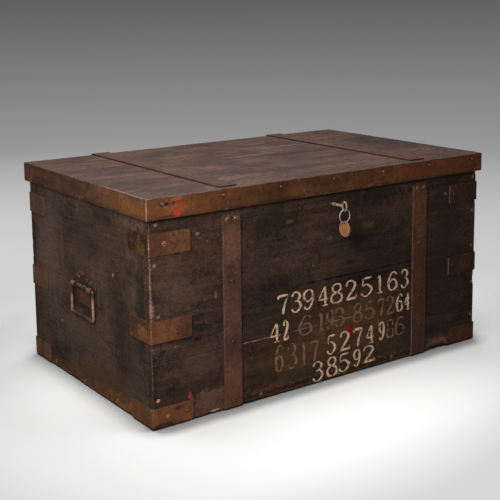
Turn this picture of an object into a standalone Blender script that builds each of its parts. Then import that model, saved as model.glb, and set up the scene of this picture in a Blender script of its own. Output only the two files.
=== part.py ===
"""Steamer trunk: boards bound with iron, a strap-hinged lid, drop handles and a box lock.

The origin is at the middle of the base. X runs along the front, Y towards the back, Z up.
All lengths are in metres.
"""

import math

import bmesh
import bpy
from mathutils import Matrix, Vector

# Overall sizes, over the iron but not the lid straps
LID_WIDTH = 0.915
LID_DEPTH = 0.565
TRUNK_HEIGHT = 0.460

# Clearances
FIT = 0.0003
CUT_OVERRUN = 0.002

# Boards
WALL_THICKNESS = 0.020
FLOOR_THICKNESS = 0.014
LID_THICKNESS = 0.022
LID_OVERHANG = 0.006
BOARD_ROUNDING = 0.0012
FRONT_SEAM_HEIGHT = 0.128
BACK_SEAM_HEIGHT = 0.236
END_SEAM_HEIGHT = 0.212
FLOOR_BOARDS = 3
LID_BOARDS = 3

# Iron band round the lid's edge
BAND_THICKNESS = 0.0025
BAND_HEIGHT = 0.042
BAND_ROUNDING = 0.0006
BAND_NAIL_DROP = 0.011
BAND_NAIL_PITCH = 0.140
BAND_NAIL_END = 0.032

# Iron straps, front and lid alike
STRAP_WIDTH = 0.043
STRAP_THICKNESS = 0.003
STRAP_SPACING = 0.522
STRAP_TIP_ROUNDING = 0.009
STRAP_BEND = 0.004
STRAP_UNDER_REACH = 0.075
FRONT_STRAP_DROP = 0.008
LID_STRAP_SETBACK = 0.016
LID_STRAP_BEND = 0.0012
LID_STRAP_TIP_ROUNDING = 0.003
RIVET_RADIUS = 0.0042
RIVET_HEIGHT = 0.0016
RIVET_PAIR_GAP = 0.020
RIVET_TIP_INSET = 0.013
RIVET_PITCH = 0.125

# Strap hinges
KNUCKLE_CLEARANCE = 0.0006
KNUCKLE_SIDE_GAP = 0.0004
CENTRE_KNUCKLE_WIDTH = 0.017
KNUCKLE_STEPS = 10
KNUCKLE_WRAP = math.radians(285)
HINGE_PIN_CLEARANCE = 0.0003
HINGE_PIN_PROUD = 0.0012

# Corner plates
PLATE_THICKNESS = 0.002
PLATE_FRONT_LEG = 0.091
PLATE_SIDE_LEG = 0.080
PLATE_HEIGHT = 0.044
BOTTOM_PLATE_HEIGHT = 0.040
TOP_PLATE_DROP = 0.027
MIDDLE_PLATE_RISE = 0.171
PLATE_BEND = 0.0026
PLATE_TIP_ROUNDING = 0.003
PLATE_NAIL_RADIUS = 0.0030
PLATE_NAIL_HEIGHT = 0.0012
PLATE_NAIL_SHARES = (0.38, 0.84)

# Nail heads, and what all heads share
NAIL_RADIUS = 0.0034
NAIL_HEIGHT = 0.0010
HEAD_SIDES = 8
HEAD_TOP_SHARE = 0.55
HEAD_SEAT = 0.0003

# Drop handles on the ends
HANDLE_SETBACK = 0.005
HANDLE_PLATE_WIDTH = 0.110
HANDLE_PLATE_SIDE = 0.058
HANDLE_PLATE_ARCH = 0.026
HANDLE_PLATE_THICKNESS = 0.0025
HANDLE_PLATE_RISE = 0.173
HANDLE_ARCH_WIDTH = 0.072
HANDLE_ARCH_STEPS = 10
PIVOT_RISE = 0.050
BAIL_ROD_RADIUS = 0.0033
BAIL_WIDTH = 0.100
BAIL_DROP = 0.064
BAIL_CORNER = 0.007
BAIL_CORNER_STEPS = 4
BAIL_ROD_RESOLUTION = 2
EAR_INNER_END = 0.030
EAR_WALL = 0.0022
EAR_CLEARANCE = 0.0004
EAR_STANDOFF = 0.0006
EAR_SIDES = 12
BAIL_TIP_INSET = 0.003
HANDLE_SCREW_RADIUS = 0.0038
HANDLE_SCREW_HEIGHT = 0.0014
HANDLE_SCREW_SPREAD = 0.040
HANDLE_SCREW_RISES = {"lower": 0.012, "upper": 0.068}

# Box lock behind the front board
KEYHOLE_DROP = 0.024
KEYHOLE_RADIUS = 0.0040
KEYHOLE_SLOT_WIDTH = 0.0045
KEYHOLE_SLOT_DROP = 0.0120
CASE_WIDTH = 0.082
CASE_HEIGHT = 0.066
CASE_DEPTH = 0.019
CASE_WALL = 0.0015
CASE_TOP_CLEARANCE = 0.0012
FLANGE_WIDTH = 0.011
LOCK_SCREW_RADIUS = 0.0032
LOCK_SCREW_HEIGHT = 0.0012
BOLT_THICKNESS = 0.004
BOLT_HEIGHT = 0.007
BOLT_TRAVEL = 0.012
BOLT_TAIL_END = 0.024
BOLT_TIP_CLEARANCE = 0.0012
BOLT_PAD_LENGTH = 0.030
TALON_WIDTH = 0.005
TALON_GAP = 0.015
TALON_DEPTH = 0.0045
STAPLE_X = -0.025
STAPLE_WIDTH = 0.008
STAPLE_WALL = 0.0022
STAPLE_CLEARANCE = 0.0008
STAPLE_PLATE_LENGTH = 0.046
STAPLE_PLATE_DEPTH = 0.015
STAPLE_PLATE_THICKNESS = 0.002
STAPLE_WINDOW_DROP = 0.006
STAPLE_SCREW_SPREAD = 0.034
STAPLE_SCREW_RADIUS = 0.0028
STAPLE_SCREW_HEIGHT = 0.0008
SLOT_CLEARANCE = 0.0012

# Key, split ring and fob
KEY_STEM_RADIUS = 0.0030
KEY_STEM_OUT = 0.035
KEY_STEM_SIDES = 12
KEY_BORE_CLEARANCE = 0.0003
KEY_END_CLEARANCE = 0.0010
KEY_BORE_DEPTH = 0.011
DRILL_PIN_RADIUS = 0.0014
DRILL_PIN_REACH = 0.008
BIT_REACH = 0.0100
BIT_THICKNESS = 0.0030
BIT_WIDTH = 0.0056
COLLAR_OUT = 0.013
COLLAR_RADIUS = 0.0044
COLLAR_WIDTH = 0.0026
BOW_HEIGHT = 0.023
BOW_DEPTH = 0.017
BOW_WIRE_RADIUS = 0.0020
BOW_STEPS = 20
BOW_SIDES = 8
RING_RADIUS = 0.0140
RING_WIRE_RADIUS = 0.0011
RING_STEPS = 24
RING_SIDES = 6
FOB_RADIUS = 0.0170
FOB_THICKNESS = 0.0016
FOB_RIM_THICKNESS = 0.0024
FOB_RIM_WIDTH = 0.0022
FOB_HOLE_RADIUS = 0.0024
FOB_HOLE_INSET = 0.0042
FOB_STEPS = 28

# Where the metal and the boards lie in height
BOARD_BOTTOM = STRAP_THICKNESS + FIT
CARCASS_TOP = TRUNK_HEIGHT - LID_THICKNESS - FIT
BAND_BOTTOM = TRUNK_HEIGHT - BAND_HEIGHT
KEY_HEIGHT = BAND_BOTTOM - KEYHOLE_DROP
LID_BOTTOM = TRUNK_HEIGHT - LID_THICKNESS

# How far the lid's iron stands out past the walls, and what that leaves for the hinge
LID_REACH = LID_OVERHANG + FIT + BAND_THICKNESS
CARCASS_HALF_WIDTH = LID_WIDTH / 2 - LID_REACH
CARCASS_HALF_DEPTH = LID_DEPTH / 2 - LID_REACH
KNUCKLE_BORE = (LID_REACH - STRAP_THICKNESS) / 2
KNUCKLE_STEP = KNUCKLE_WRAP / KNUCKLE_STEPS
KNUCKLE_OUTER = KNUCKLE_BORE + STRAP_THICKNESS / math.cos(KNUCKLE_STEP / 2)
HINGE_PIN_RADIUS = KNUCKLE_BORE * math.cos(KNUCKLE_STEP / 2) - HINGE_PIN_CLEARANCE
HINGE_HEIGHT = BAND_BOTTOM - KNUCKLE_OUTER - KNUCKLE_CLEARANCE

# Front and back, with the origin midway between the fob and the hinge straps
BOW_CENTRE_OUT = KEY_STEM_OUT + BOW_DEPTH / 2
FRONT_REACH = CARCASS_HALF_DEPTH + BOW_CENTRE_OUT + FOB_RADIUS
BACK_REACH = CARCASS_HALF_DEPTH + LID_REACH + FIT + STRAP_THICKNESS
MIDDLE_Y = (FRONT_REACH - BACK_REACH) / 2
FRONT_Y = MIDDLE_Y - CARCASS_HALF_DEPTH
BACK_Y = MIDDLE_Y + CARCASS_HALF_DEPTH
FRONT_INNER_Y = FRONT_Y + WALL_THICKNESS
BACK_INNER_Y = BACK_Y - WALL_THICKNESS
END_INNER_X = CARCASS_HALF_WIDTH - WALL_THICKNESS
HINGE_Y = BACK_Y + FIT + STRAP_THICKNESS + KNUCKLE_BORE
LID_FRONT_Y = MIDDLE_Y - LID_DEPTH / 2
LID_BACK_Y = MIDDLE_Y + LID_DEPTH / 2

# Lock and key places
CASE_TOP = CARCASS_TOP - STAPLE_PLATE_THICKNESS - CASE_TOP_CLEARANCE
CASE_BACK_Y = FRONT_INNER_Y + FIT + CASE_DEPTH
CASE_INNER_BACK_Y = CASE_BACK_Y - CASE_WALL
BOLT_Y = (FRONT_INNER_Y + CASE_INNER_BACK_Y) / 2
STAPLE_WINDOW_TOP = CASE_TOP - STAPLE_WINDOW_DROP
BOLT_TOP = STAPLE_WINDOW_TOP - STAPLE_CLEARANCE
BOLT_BOTTOM = BOLT_TOP - BOLT_HEIGHT
STAPLE_WINDOW_BOTTOM = BOLT_BOTTOM - STAPLE_CLEARANCE
TALON_TOP = KEY_HEIGHT + BIT_REACH + STAPLE_CLEARANCE
TALON_BOTTOM = TALON_TOP - TALON_DEPTH
KEY_END_Y = CASE_INNER_BACK_Y - KEY_END_CLEARANCE
BOW_Y = FRONT_Y - BOW_CENTRE_OUT
RING_TOP = KEY_HEIGHT - BOW_HEIGHT / 2 + 2 * BOW_WIRE_RADIUS + FIT + RING_WIRE_RADIUS
RING_CENTRE = RING_TOP - RING_RADIUS
RING_BOTTOM = RING_CENTRE - RING_RADIUS
FOB_HOLE = RING_BOTTOM + RING_WIRE_RADIUS + FIT - FOB_HOLE_RADIUS
FOB_CENTRE = FOB_HOLE - FOB_RADIUS + FOB_HOLE_INSET

# Handle places, outward from each end
HANDLE_Y = MIDDLE_Y + HANDLE_SETBACK
EAR_BORE = (BAIL_ROD_RADIUS + EAR_CLEARANCE) / math.cos(math.pi / EAR_SIDES)
HANDLE_PLATE_FACE = CARCASS_HALF_WIDTH + FIT + HANDLE_PLATE_THICKNESS
PIVOT_X = HANDLE_PLATE_FACE + EAR_STANDOFF + EAR_BORE
HANDLE_PLATE_BOTTOM = BOARD_BOTTOM + HANDLE_PLATE_RISE
PIVOT_Z = HANDLE_PLATE_BOTTOM + PIVOT_RISE
EAR_OUTER_END = BAIL_WIDTH / 2 - BAIL_ROD_RADIUS - EAR_CLEARANCE

# Turns that lay a flat outline's own axes along two of the world's
ACROSS_X = Matrix(((0, 0, 1, 0), (1, 0, 0, 0), (0, 1, 0, 0), (0, 0, 0, 1)))
ACROSS_Y = Matrix(((1, 0, 0, 0), (0, 0, 1, 0), (0, 1, 0, 0), (0, 0, 0, 1)))
ACROSS_Z = Matrix.Identity(4)

UP = Vector((0, 0, 1))
FRONTWARD = Vector((0, -1, 0))
BACKWARD = Vector((0, 1, 0))


def clear_scene():
    """Remove whatever the scene holds."""
    for old in list(bpy.data.objects):
        bpy.data.objects.remove(old, do_unlink=True)


def new_collection(name):
    """A collection of this name under the scene."""
    made = bpy.data.collections.new(name)
    bpy.context.scene.collection.children.link(made)
    return made


clear_scene()
TRUNK = new_collection("steamer_trunk")
CUTTERS = new_collection("cutters")


def finish(name, colour, roughness, metallic):
    """A plain material from a linear colour."""
    made = bpy.data.materials.new(name)
    made.use_nodes = True
    shader = made.node_tree.nodes["Principled BSDF"]
    shader.inputs["Base Color"].default_value = (*colour, 1)
    shader.inputs["Roughness"].default_value = roughness
    shader.inputs["Metallic"].default_value = metallic
    made.diffuse_color = (*colour, 1)
    return made


FRONT_WOOD = finish("front_wood", (0.022, 0.014, 0.010), 0.55, 0)
END_WOOD = finish("end_wood", (0.040, 0.024, 0.013), 0.60, 0)
LID_WOOD = finish("lid_wood", (0.055, 0.035, 0.029), 0.50, 0)
INNER_WOOD = finish("inner_wood", (0.160, 0.095, 0.050), 0.75, 0)
BAND_IRON = finish("band_iron", (0.130, 0.052, 0.018), 0.55, 0.5)
STRAP_IRON = finish("strap_iron", (0.090, 0.040, 0.022), 0.50, 0.5)
PLATE_IRON = finish("plate_iron", (0.085, 0.036, 0.014), 0.60, 0.5)
NAIL_IRON = finish("nail_iron", (0.070, 0.050, 0.040), 0.45, 0.8)
LOCK_IRON = finish("lock_iron", (0.110, 0.100, 0.090), 0.45, 0.9)
KEY_STEEL = finish("key_steel", (0.420, 0.380, 0.320), 0.30, 1)
FOB_COPPER = finish("fob_copper", (0.420, 0.200, 0.080), 0.35, 1)


def world_place(thing):
    """Where an object's origin is, for objects that are parented but not turned."""
    place = Vector()
    while thing:
        place += thing.location
        thing = thing.parent
    return place


def attach(thing, parent):
    """Parent an object and leave it where it is in the world."""
    if parent:
        thing.location = thing.location - world_place(parent)
        thing.parent = parent
    return thing


def axis(name, place, parent=None):
    """An empty on a moving part's axis."""
    empty = bpy.data.objects.new(name, None)
    empty.location = place
    TRUNK.objects.link(empty)
    return attach(empty, parent)


def add(name, mesh, material=None, place=(0, 0, 0), parent=None):
    """A part, or a cutter where no material is given."""
    made = bpy.data.objects.new(name, mesh)
    made.location = place
    if material:
        mesh.materials.append(material)
        TRUNK.objects.link(made)
    else:
        CUTTERS.objects.link(made)
        made.hide_render = True
        made.display_type = "WIRE"
    return attach(made, parent)


def combine(target, tool, operation="DIFFERENCE"):
    """Cut a tool from a part, or join it on."""
    modifier = target.modifiers.new(tool.name, "BOOLEAN")
    modifier.operation = operation
    modifier.solver = "EXACT"
    modifier.object = tool


def block(name, low, high, material=None, parent=None, rounding=0):
    """A box between two corners, with its edges eased."""
    low = Vector(low)
    high = Vector(high)
    shape = bmesh.new()
    bmesh.ops.create_cube(shape, size=1)
    bmesh.ops.scale(shape, vec=high - low, verts=shape.verts)
    mesh = bpy.data.meshes.new(name)
    shape.to_mesh(mesh)
    shape.free()
    made = add(name, mesh, material, (low + high) / 2, parent)
    if rounding:
        bevel = made.modifiers.new("eased_edges", "BEVEL")
        bevel.width = rounding
        bevel.segments = 1
    return made


def cylinder_mesh(name, radius, length, sides, direction, top_radius=None):
    """A capped cylinder or cone about its own middle, along a direction."""
    shape = bmesh.new()
    turn = UP.rotation_difference(Vector(direction)).to_matrix().to_4x4()
    bmesh.ops.create_cone(
        shape,
        cap_ends=True,
        segments=sides,
        radius1=radius,
        radius2=radius if top_radius is None else top_radius,
        depth=length,
        matrix=turn,
    )
    mesh = bpy.data.meshes.new(name)
    shape.to_mesh(mesh)
    shape.free()
    mesh.shade_smooth()
    mesh.set_sharp_from_angle(angle=math.radians(40))
    return mesh


def curve_mesh(name, curve, turn=ACROSS_Z):
    """The welded mesh of a curve, with its faces pointing out."""
    guide = bpy.data.objects.new(name, curve)
    bpy.context.scene.collection.objects.link(guide)
    graph = bpy.context.evaluated_depsgraph_get()
    mesh = bpy.data.meshes.new_from_object(guide.evaluated_get(graph))
    bpy.data.objects.remove(guide, do_unlink=True)
    shape = bmesh.new()
    shape.from_mesh(mesh)
    bmesh.ops.remove_doubles(shape, verts=shape.verts, dist=1e-6)
    bmesh.ops.transform(shape, matrix=turn, verts=shape.verts)
    bmesh.ops.recalc_face_normals(shape, faces=shape.faces)
    shape.to_mesh(mesh)
    shape.free()
    return mesh


def outline_mesh(name, outlines, thickness, turn):
    """A flat outline, with any holes, thickened evenly to both sides of its plane."""
    curve = bpy.data.curves.new(name, "CURVE")
    curve.dimensions = "2D"
    curve.fill_mode = "BOTH"
    curve.extrude = thickness / 2
    for outline in outlines:
        spline = curve.splines.new("POLY")
        spline.points.add(len(outline) - 1)
        for point, (across, along) in zip(spline.points, outline):
            point.co = (across, along, 0, 1)
        spline.use_cyclic_u = True
    return curve_mesh(name, curve, turn)


def arc(centre, radius, start, end, steps):
    """Points on a circle from one angle to another, both ends included."""
    points = []
    for step in range(steps + 1):
        angle = start + (end - start) * step / steps
        points.append(Vector(centre) + radius * Vector((math.cos(angle), math.sin(angle))))
    return points


def rounded(path, radius, steps):
    """A path with each of its inner corners turned into an arc."""
    points = [Vector(point) for point in path]
    made = [points[0]]
    for before, corner, after in zip(points, points[1:], points[2:]):
        arriving = (corner - before).normalized()
        leaving = (after - corner).normalized()
        turn = arriving.angle_signed(leaving)
        back = radius * math.tan(abs(turn) / 2)
        side = Vector((-arriving.y, arriving.x)) * (-1 if turn > 0 else 1)
        centre = corner - arriving * back + side * radius
        begin = math.atan2(-side.y, -side.x)
        made += arc(centre, radius, begin, begin - turn, steps)
    made.append(points[-1])
    return made


def thickened(path, thickness):
    """The outline of a strip that follows a path, with its thickness on the path's right."""
    points = [Vector(point) for point in path]
    rights = []
    for start, end in zip(points, points[1:]):
        along = (end - start).normalized()
        rights.append(Vector((along.y, -along.x)))
    far = [points[0] + rights[0] * thickness]
    for point, before, after in zip(points[1:], rights, rights[1:]):
        far.append(point + (before + after) * thickness / (1 + before.dot(after)))
    far.append(points[-1] + rights[-1] * thickness)
    return points + far[::-1]


def round_tips(mesh, radius, segments, at_tip, level):
    """Round the short edges at a tip: both ends pass the test and are level along an axis."""
    shape = bmesh.new()
    shape.from_mesh(mesh)
    edges = []
    for edge in shape.edges:
        one, other = (vert.co for vert in edge.verts)
        if at_tip(one) and at_tip(other) and abs(one[level] - other[level]) < FIT:
            edges.append(edge)
    bmesh.ops.bevel(
        shape, geom=edges, offset=radius, segments=segments, profile=0.5, affect="EDGES"
    )
    shape.to_mesh(mesh)
    shape.free()


def head_mesh(name, spots, radius, height, seat):
    """Low round heads, each given by its place and the way it faces, sunk in by a seat."""
    shape = bmesh.new()
    for place, facing in spots:
        turn = UP.rotation_difference(facing).to_matrix().to_4x4()
        middle = Vector(place) + facing * (height / 2 - seat)
        bmesh.ops.create_cone(
            shape,
            cap_ends=True,
            segments=HEAD_SIDES,
            radius1=radius,
            radius2=radius * HEAD_TOP_SHARE,
            depth=height,
            matrix=Matrix.Translation(middle) @ turn,
        )
    mesh = bpy.data.meshes.new(name)
    shape.to_mesh(mesh)
    shape.free()
    return mesh


def add_heads(iron, spots, radius, height):
    """Join nail or rivet heads to the iron that they hold."""
    name = f"{iron.name}_heads"
    combine(iron, add(name, head_mesh(name, spots, radius, height + HEAD_SEAT, HEAD_SEAT)), "UNION")


def screw(name, place, facing, radius, height):
    """The head of a wood screw, resting on what it holds."""
    at_rest = (Vector((0, 0, 0)), facing)
    mesh = head_mesh(name, [at_rest], radius, height, -FIT)
    return add(name, mesh, NAIL_IRON, place)


def spread(low, high, pitch):
    """Even places from low to high, about a pitch apart."""
    count = max(1, round((high - low) / pitch))
    return [low + (high - low) * step / count for step in range(count + 1)]


def wall(name, low, high, seam, material):
    """A wall of two boards, one above the other, that meet at a seam."""
    x_low, y_low = low
    x_high, y_high = high
    middle = BOARD_BOTTOM + seam
    lower = (x_low, y_low, BOARD_BOTTOM), (x_high, y_high, middle)
    upper = (x_low, y_low, middle + FIT), (x_high, y_high, CARCASS_TOP)
    block(f"{name}_lower_board", *lower, material, rounding=BOARD_ROUNDING)
    return block(f"{name}_upper_board", *upper, material, rounding=BOARD_ROUNDING)


def cut_keyhole(board):
    """A round hole with a slot under it for the key's bit."""
    middle_y = FRONT_Y + WALL_THICKNESS / 2
    length = WALL_THICKNESS + 2 * CUT_OVERRUN
    bore = cylinder_mesh("keyhole_bore", KEYHOLE_RADIUS, length, KEY_STEM_SIDES, BACKWARD)
    combine(board, add("keyhole_bore", bore, place=(0, middle_y, KEY_HEIGHT)))
    slot_low = (
        -KEYHOLE_SLOT_WIDTH / 2,
        FRONT_Y - CUT_OVERRUN,
        KEY_HEIGHT - KEYHOLE_SLOT_DROP,
    )
    slot_high = (KEYHOLE_SLOT_WIDTH / 2, FRONT_INNER_Y + CUT_OVERRUN, KEY_HEIGHT)
    combine(board, block("keyhole_slot", slot_low, slot_high))


def build_carcass():
    """Four walls, with the front and back run past the ends, and a floor inside them."""
    half = CARCASS_HALF_WIDTH
    front = wall("front", (-half, FRONT_Y), (half, FRONT_INNER_Y), FRONT_SEAM_HEIGHT, FRONT_WOOD)
    cut_keyhole(front)
    wall("back", (-half, BACK_INNER_Y), (half, BACK_Y), BACK_SEAM_HEIGHT, FRONT_WOOD)
    near = FRONT_INNER_Y + FIT
    far = BACK_INNER_Y - FIT
    wall("left_end", (-half, near), (-END_INNER_X, far), END_SEAM_HEIGHT, END_WOOD)
    wall("right_end", (END_INNER_X, near), (half, far), END_SEAM_HEIGHT, END_WOOD)
    depth = (far - near + FIT) / FLOOR_BOARDS
    reach = END_INNER_X - FIT
    for number in range(FLOOR_BOARDS):
        start = near + number * depth
        block(
            f"floor_board_{number + 1}",
            (-reach, start, BOARD_BOTTOM),
            (reach, start + depth - FIT, BOARD_BOTTOM + FLOOR_THICKNESS),
            INNER_WOOD,
            rounding=BOARD_ROUNDING,
        )


def corner_plate(name, side, facing, bottom, height):
    """An iron plate bent round one upright corner, front leg and side leg."""
    corner = Vector((side * CARCASS_HALF_WIDTH, MIDDLE_Y + facing * CARCASS_HALF_DEPTH))
    path = (
        corner + Vector((-side * PLATE_FRONT_LEG, facing * (FIT + PLATE_THICKNESS))),
        corner + Vector((side, facing)) * (FIT + PLATE_THICKNESS),
        corner + Vector((side * (FIT + PLATE_THICKNESS), -facing * PLATE_SIDE_LEG)),
    )
    inward = -1 if side * facing < 0 else 1
    outline = thickened(rounded(path, PLATE_BEND, 2), inward * PLATE_THICKNESS)
    place = Vector((corner.x, corner.y, bottom + height / 2))
    local = [point - corner for point in outline]
    mesh = outline_mesh(name, [local], height, ACROSS_Z)

    def at_a_tip(point):
        """True at the free end of either leg."""
        front_tip = abs(point.x) > PLATE_FRONT_LEG - FIT
        side_tip = abs(point.y) > PLATE_SIDE_LEG - FIT
        return front_tip or side_tip

    round_tips(mesh, PLATE_TIP_ROUNDING, 2, at_a_tip, 2)
    plate = add(name, mesh, PLATE_IRON, place)
    spots = []
    for share in PLATE_NAIL_SHARES:
        along_front = (corner.x - side * share * PLATE_FRONT_LEG, path[0].y, place.z)
        spots.append((along_front, Vector((0, facing, 0))))
        along_side = (path[2].x, corner.y - facing * share * PLATE_SIDE_LEG, place.z)
        spots.append((along_side, Vector((side, 0, 0))))
    add_heads(plate, spots, PLATE_NAIL_RADIUS, PLATE_NAIL_HEIGHT)


def build_corner_plates():
    """Three plates up each of the four corners."""
    top = BAND_BOTTOM - TOP_PLATE_DROP - PLATE_HEIGHT
    levels = {
        "top": (top, PLATE_HEIGHT),
        "middle": (BOARD_BOTTOM + MIDDLE_PLATE_RISE, PLATE_HEIGHT),
        "bottom": (BOARD_BOTTOM, BOTTOM_PLATE_HEIGHT),
    }
    for end, side in (("left", -1), ("right", 1)):
        for face, facing in (("front", -1), ("back", 1)):
            for level, (bottom, height) in levels.items():
                corner_plate(f"{face}_{end}_{level}_corner_plate", side, facing, bottom, height)


def strap_centres():
    """The straps' places along the trunk, with the side each is on."""
    return (("left", -STRAP_SPACING / 2), ("right", STRAP_SPACING / 2))


def build_front_straps():
    """Straps down the front that turn under the floor. The trunk stands on their undersides."""
    face = FRONT_Y - FIT - STRAP_THICKNESS
    top = BAND_BOTTOM - FRONT_STRAP_DROP
    under_end = FRONT_Y + STRAP_UNDER_REACH
    path = rounded([(face, top), (face, 0), (under_end, 0)], STRAP_BEND, 3)
    outline = thickened(path, -STRAP_THICKNESS)
    for side, x in strap_centres():
        name = f"{side}_front_strap"
        mesh = outline_mesh(name, [outline], STRAP_WIDTH, ACROSS_X)
        round_tips(mesh, STRAP_TIP_ROUNDING, 3, lambda point: abs(point.z - top) < FIT, 0)
        strap = add(name, mesh, STRAP_IRON, (x, 0, 0))
        spots = []
        for offset in (-RIVET_PAIR_GAP / 2, RIVET_PAIR_GAP / 2):
            spots.append(((x + offset, face, top - RIVET_TIP_INSET), FRONTWARD))
        low = BOARD_BOTTOM + RIVET_TIP_INSET
        for height in spread(low, top - RIVET_TIP_INSET, RIVET_PITCH)[:-1]:
            spots.append(((x, face, height), FRONTWARD))
        add_heads(strap, spots, RIVET_RADIUS, RIVET_HEIGHT)


def lower_leaf(side, x):
    """The hinge's fixed leaf: its knuckle, a strap down the back and a turn under the floor."""
    knuckle = arc(
        (HINGE_Y, HINGE_HEIGHT), KNUCKLE_BORE, math.pi - KNUCKLE_WRAP, math.pi, KNUCKLE_STEPS
    )
    face = HINGE_Y - KNUCKLE_BORE
    bend = rounded(
        [(face, HINGE_HEIGHT), (face, 0), (BACK_Y - STRAP_UNDER_REACH, 0)], STRAP_BEND, 3
    )
    outline = thickened(knuckle + bend[1:], STRAP_THICKNESS)
    name = f"{side}_hinge_lower_leaf"
    leaf = add(name, outline_mesh(name, [outline], STRAP_WIDTH, ACROSS_X), STRAP_IRON, (x, 0, 0))
    reach = KNUCKLE_OUTER + KNUCKLE_CLEARANCE
    for hand in (-1, 1):
        inner = x + hand * CENTRE_KNUCKLE_WIDTH / 2
        outer = x + hand * (STRAP_WIDTH / 2 + CUT_OVERRUN)
        low = (min(inner, outer), HINGE_Y - 2 * reach, HINGE_HEIGHT - reach)
        high = (max(inner, outer), HINGE_Y + reach, HINGE_HEIGHT + 2 * reach)
        combine(leaf, block(f"{name}_notch_{hand + 1}", low, high))
    spots = []
    top = HINGE_HEIGHT - reach - RIVET_TIP_INSET
    for offset in (-RIVET_PAIR_GAP / 2, RIVET_PAIR_GAP / 2):
        spots.append(((x + offset, face, top), BACKWARD))
    for height in spread(BOARD_BOTTOM + RIVET_TIP_INSET, top, RIVET_PITCH)[:-1]:
        spots.append(((x, face, height), BACKWARD))
    add_heads(leaf, spots, RIVET_RADIUS, RIVET_HEIGHT)


def upper_leaf(side, x, parent):
    """The hinge's moving leaf: a strap over the lid, bent down behind it to two knuckles."""
    back = HINGE_Y + KNUCKLE_BORE
    rest = TRUNK_HEIGHT + FIT
    start = LID_FRONT_Y + LID_STRAP_SETBACK
    bend = rounded([(start, rest), (back, rest), (back, HINGE_HEIGHT)], LID_STRAP_BEND, 2)
    knuckle = arc((HINGE_Y, HINGE_HEIGHT), KNUCKLE_BORE, 0, -KNUCKLE_WRAP, KNUCKLE_STEPS)
    outline = thickened(bend[:-1] + knuckle, -STRAP_THICKNESS)
    name = f"{side}_hinge_upper_leaf"
    mesh = outline_mesh(name, [outline], STRAP_WIDTH, ACROSS_X)
    round_tips(mesh, LID_STRAP_TIP_ROUNDING, 2, lambda point: abs(point.y - start) < FIT, 0)
    leaf = add(name, mesh, STRAP_IRON, (x, 0, 0), parent)
    reach = KNUCKLE_OUTER + KNUCKLE_CLEARANCE
    half = CENTRE_KNUCKLE_WIDTH / 2 + KNUCKLE_SIDE_GAP
    low = (x - half, HINGE_Y - reach, HINGE_HEIGHT - reach)
    high = (x + half, HINGE_Y + 2 * reach, HINGE_HEIGHT + reach)
    combine(leaf, block(f"{name}_notch", low, high))
    spots = []
    surface = rest + STRAP_THICKNESS
    first = start + RIVET_TIP_INSET
    for y in spread(first, LID_BACK_Y - RIVET_TIP_INSET, RIVET_PITCH):
        for offset in (-RIVET_PAIR_GAP / 2, RIVET_PAIR_GAP / 2):
            spots.append(((x + offset, y, surface), UP))
    add_heads(leaf, spots, RIVET_RADIUS, RIVET_HEIGHT)


def build_hinges(lid):
    """Both strap hinges and their pins."""
    for side, x in strap_centres():
        lower_leaf(side, x)
        upper_leaf(side, x, lid)
        name = f"{side}_hinge_pin"
        length = STRAP_WIDTH + 2 * HINGE_PIN_PROUD
        mesh = cylinder_mesh(name, HINGE_PIN_RADIUS, length, 12, (1, 0, 0))
        add(name, mesh, LOCK_IRON, (x, HINGE_Y, HINGE_HEIGHT))


def build_lid(lid):
    """Boards side by side, and four iron bands round their edges that hang below them."""
    half = LID_WIDTH / 2
    edge = BAND_THICKNESS + FIT
    front = LID_FRONT_Y + edge
    depth = (LID_DEPTH - 2 * edge + FIT) / LID_BOARDS
    for number in range(LID_BOARDS):
        start = front + number * depth
        block(
            f"lid_board_{number + 1}",
            (-half + edge, start, LID_BOTTOM),
            (half - edge, start + depth - FIT, TRUNK_HEIGHT),
            LID_WOOD,
            lid,
            BOARD_ROUNDING,
        )
    build_long_bands(lid)
    build_short_bands(lid)


def build_long_bands(lid):
    """The front and back bands, nailed into the boards' edges clear of the hinge straps."""
    half = LID_WIDTH / 2
    height = TRUNK_HEIGHT - BAND_NAIL_DROP
    along = spread(-half + BAND_NAIL_END, half - BAND_NAIL_END, BAND_NAIL_PITCH)
    clear = [x for x in along if all(abs(x - at) > STRAP_WIDTH for _, at in strap_centres())]
    bands = (
        ("front_lid_band", LID_FRONT_Y, LID_FRONT_Y + BAND_THICKNESS, along),
        ("back_lid_band", LID_BACK_Y, LID_BACK_Y - BAND_THICKNESS, clear),
    )
    for name, outer, inner, places in bands:
        low = (-half, min(outer, inner), BAND_BOTTOM)
        high = (half, max(outer, inner), TRUNK_HEIGHT)
        band = block(name, low, high, BAND_IRON, lid, BAND_ROUNDING)
        facing = FRONTWARD if outer < inner else BACKWARD
        spots = [((x, outer, height), facing) for x in places]
        add_heads(band, spots, NAIL_RADIUS, NAIL_HEIGHT)


def build_short_bands(lid):
    """The end bands, fitted between the long ones."""
    half = LID_WIDTH / 2
    edge = BAND_THICKNESS + FIT
    height = TRUNK_HEIGHT - BAND_NAIL_DROP
    along = spread(LID_FRONT_Y + BAND_NAIL_END, LID_BACK_Y - BAND_NAIL_END, BAND_NAIL_PITCH)
    for end, side in (("left", -1), ("right", 1)):
        outer = side * half
        inner = side * (half - BAND_THICKNESS)
        low = (min(outer, inner), LID_FRONT_Y + edge, BAND_BOTTOM)
        high = (max(outer, inner), LID_BACK_Y - edge, TRUNK_HEIGHT)
        band = block(f"{end}_lid_band", low, high, BAND_IRON, lid, BAND_ROUNDING)
        spots = [((outer, y, height), Vector((side, 0, 0))) for y in along]
        add_heads(band, spots, NAIL_RADIUS, NAIL_HEIGHT)


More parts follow.
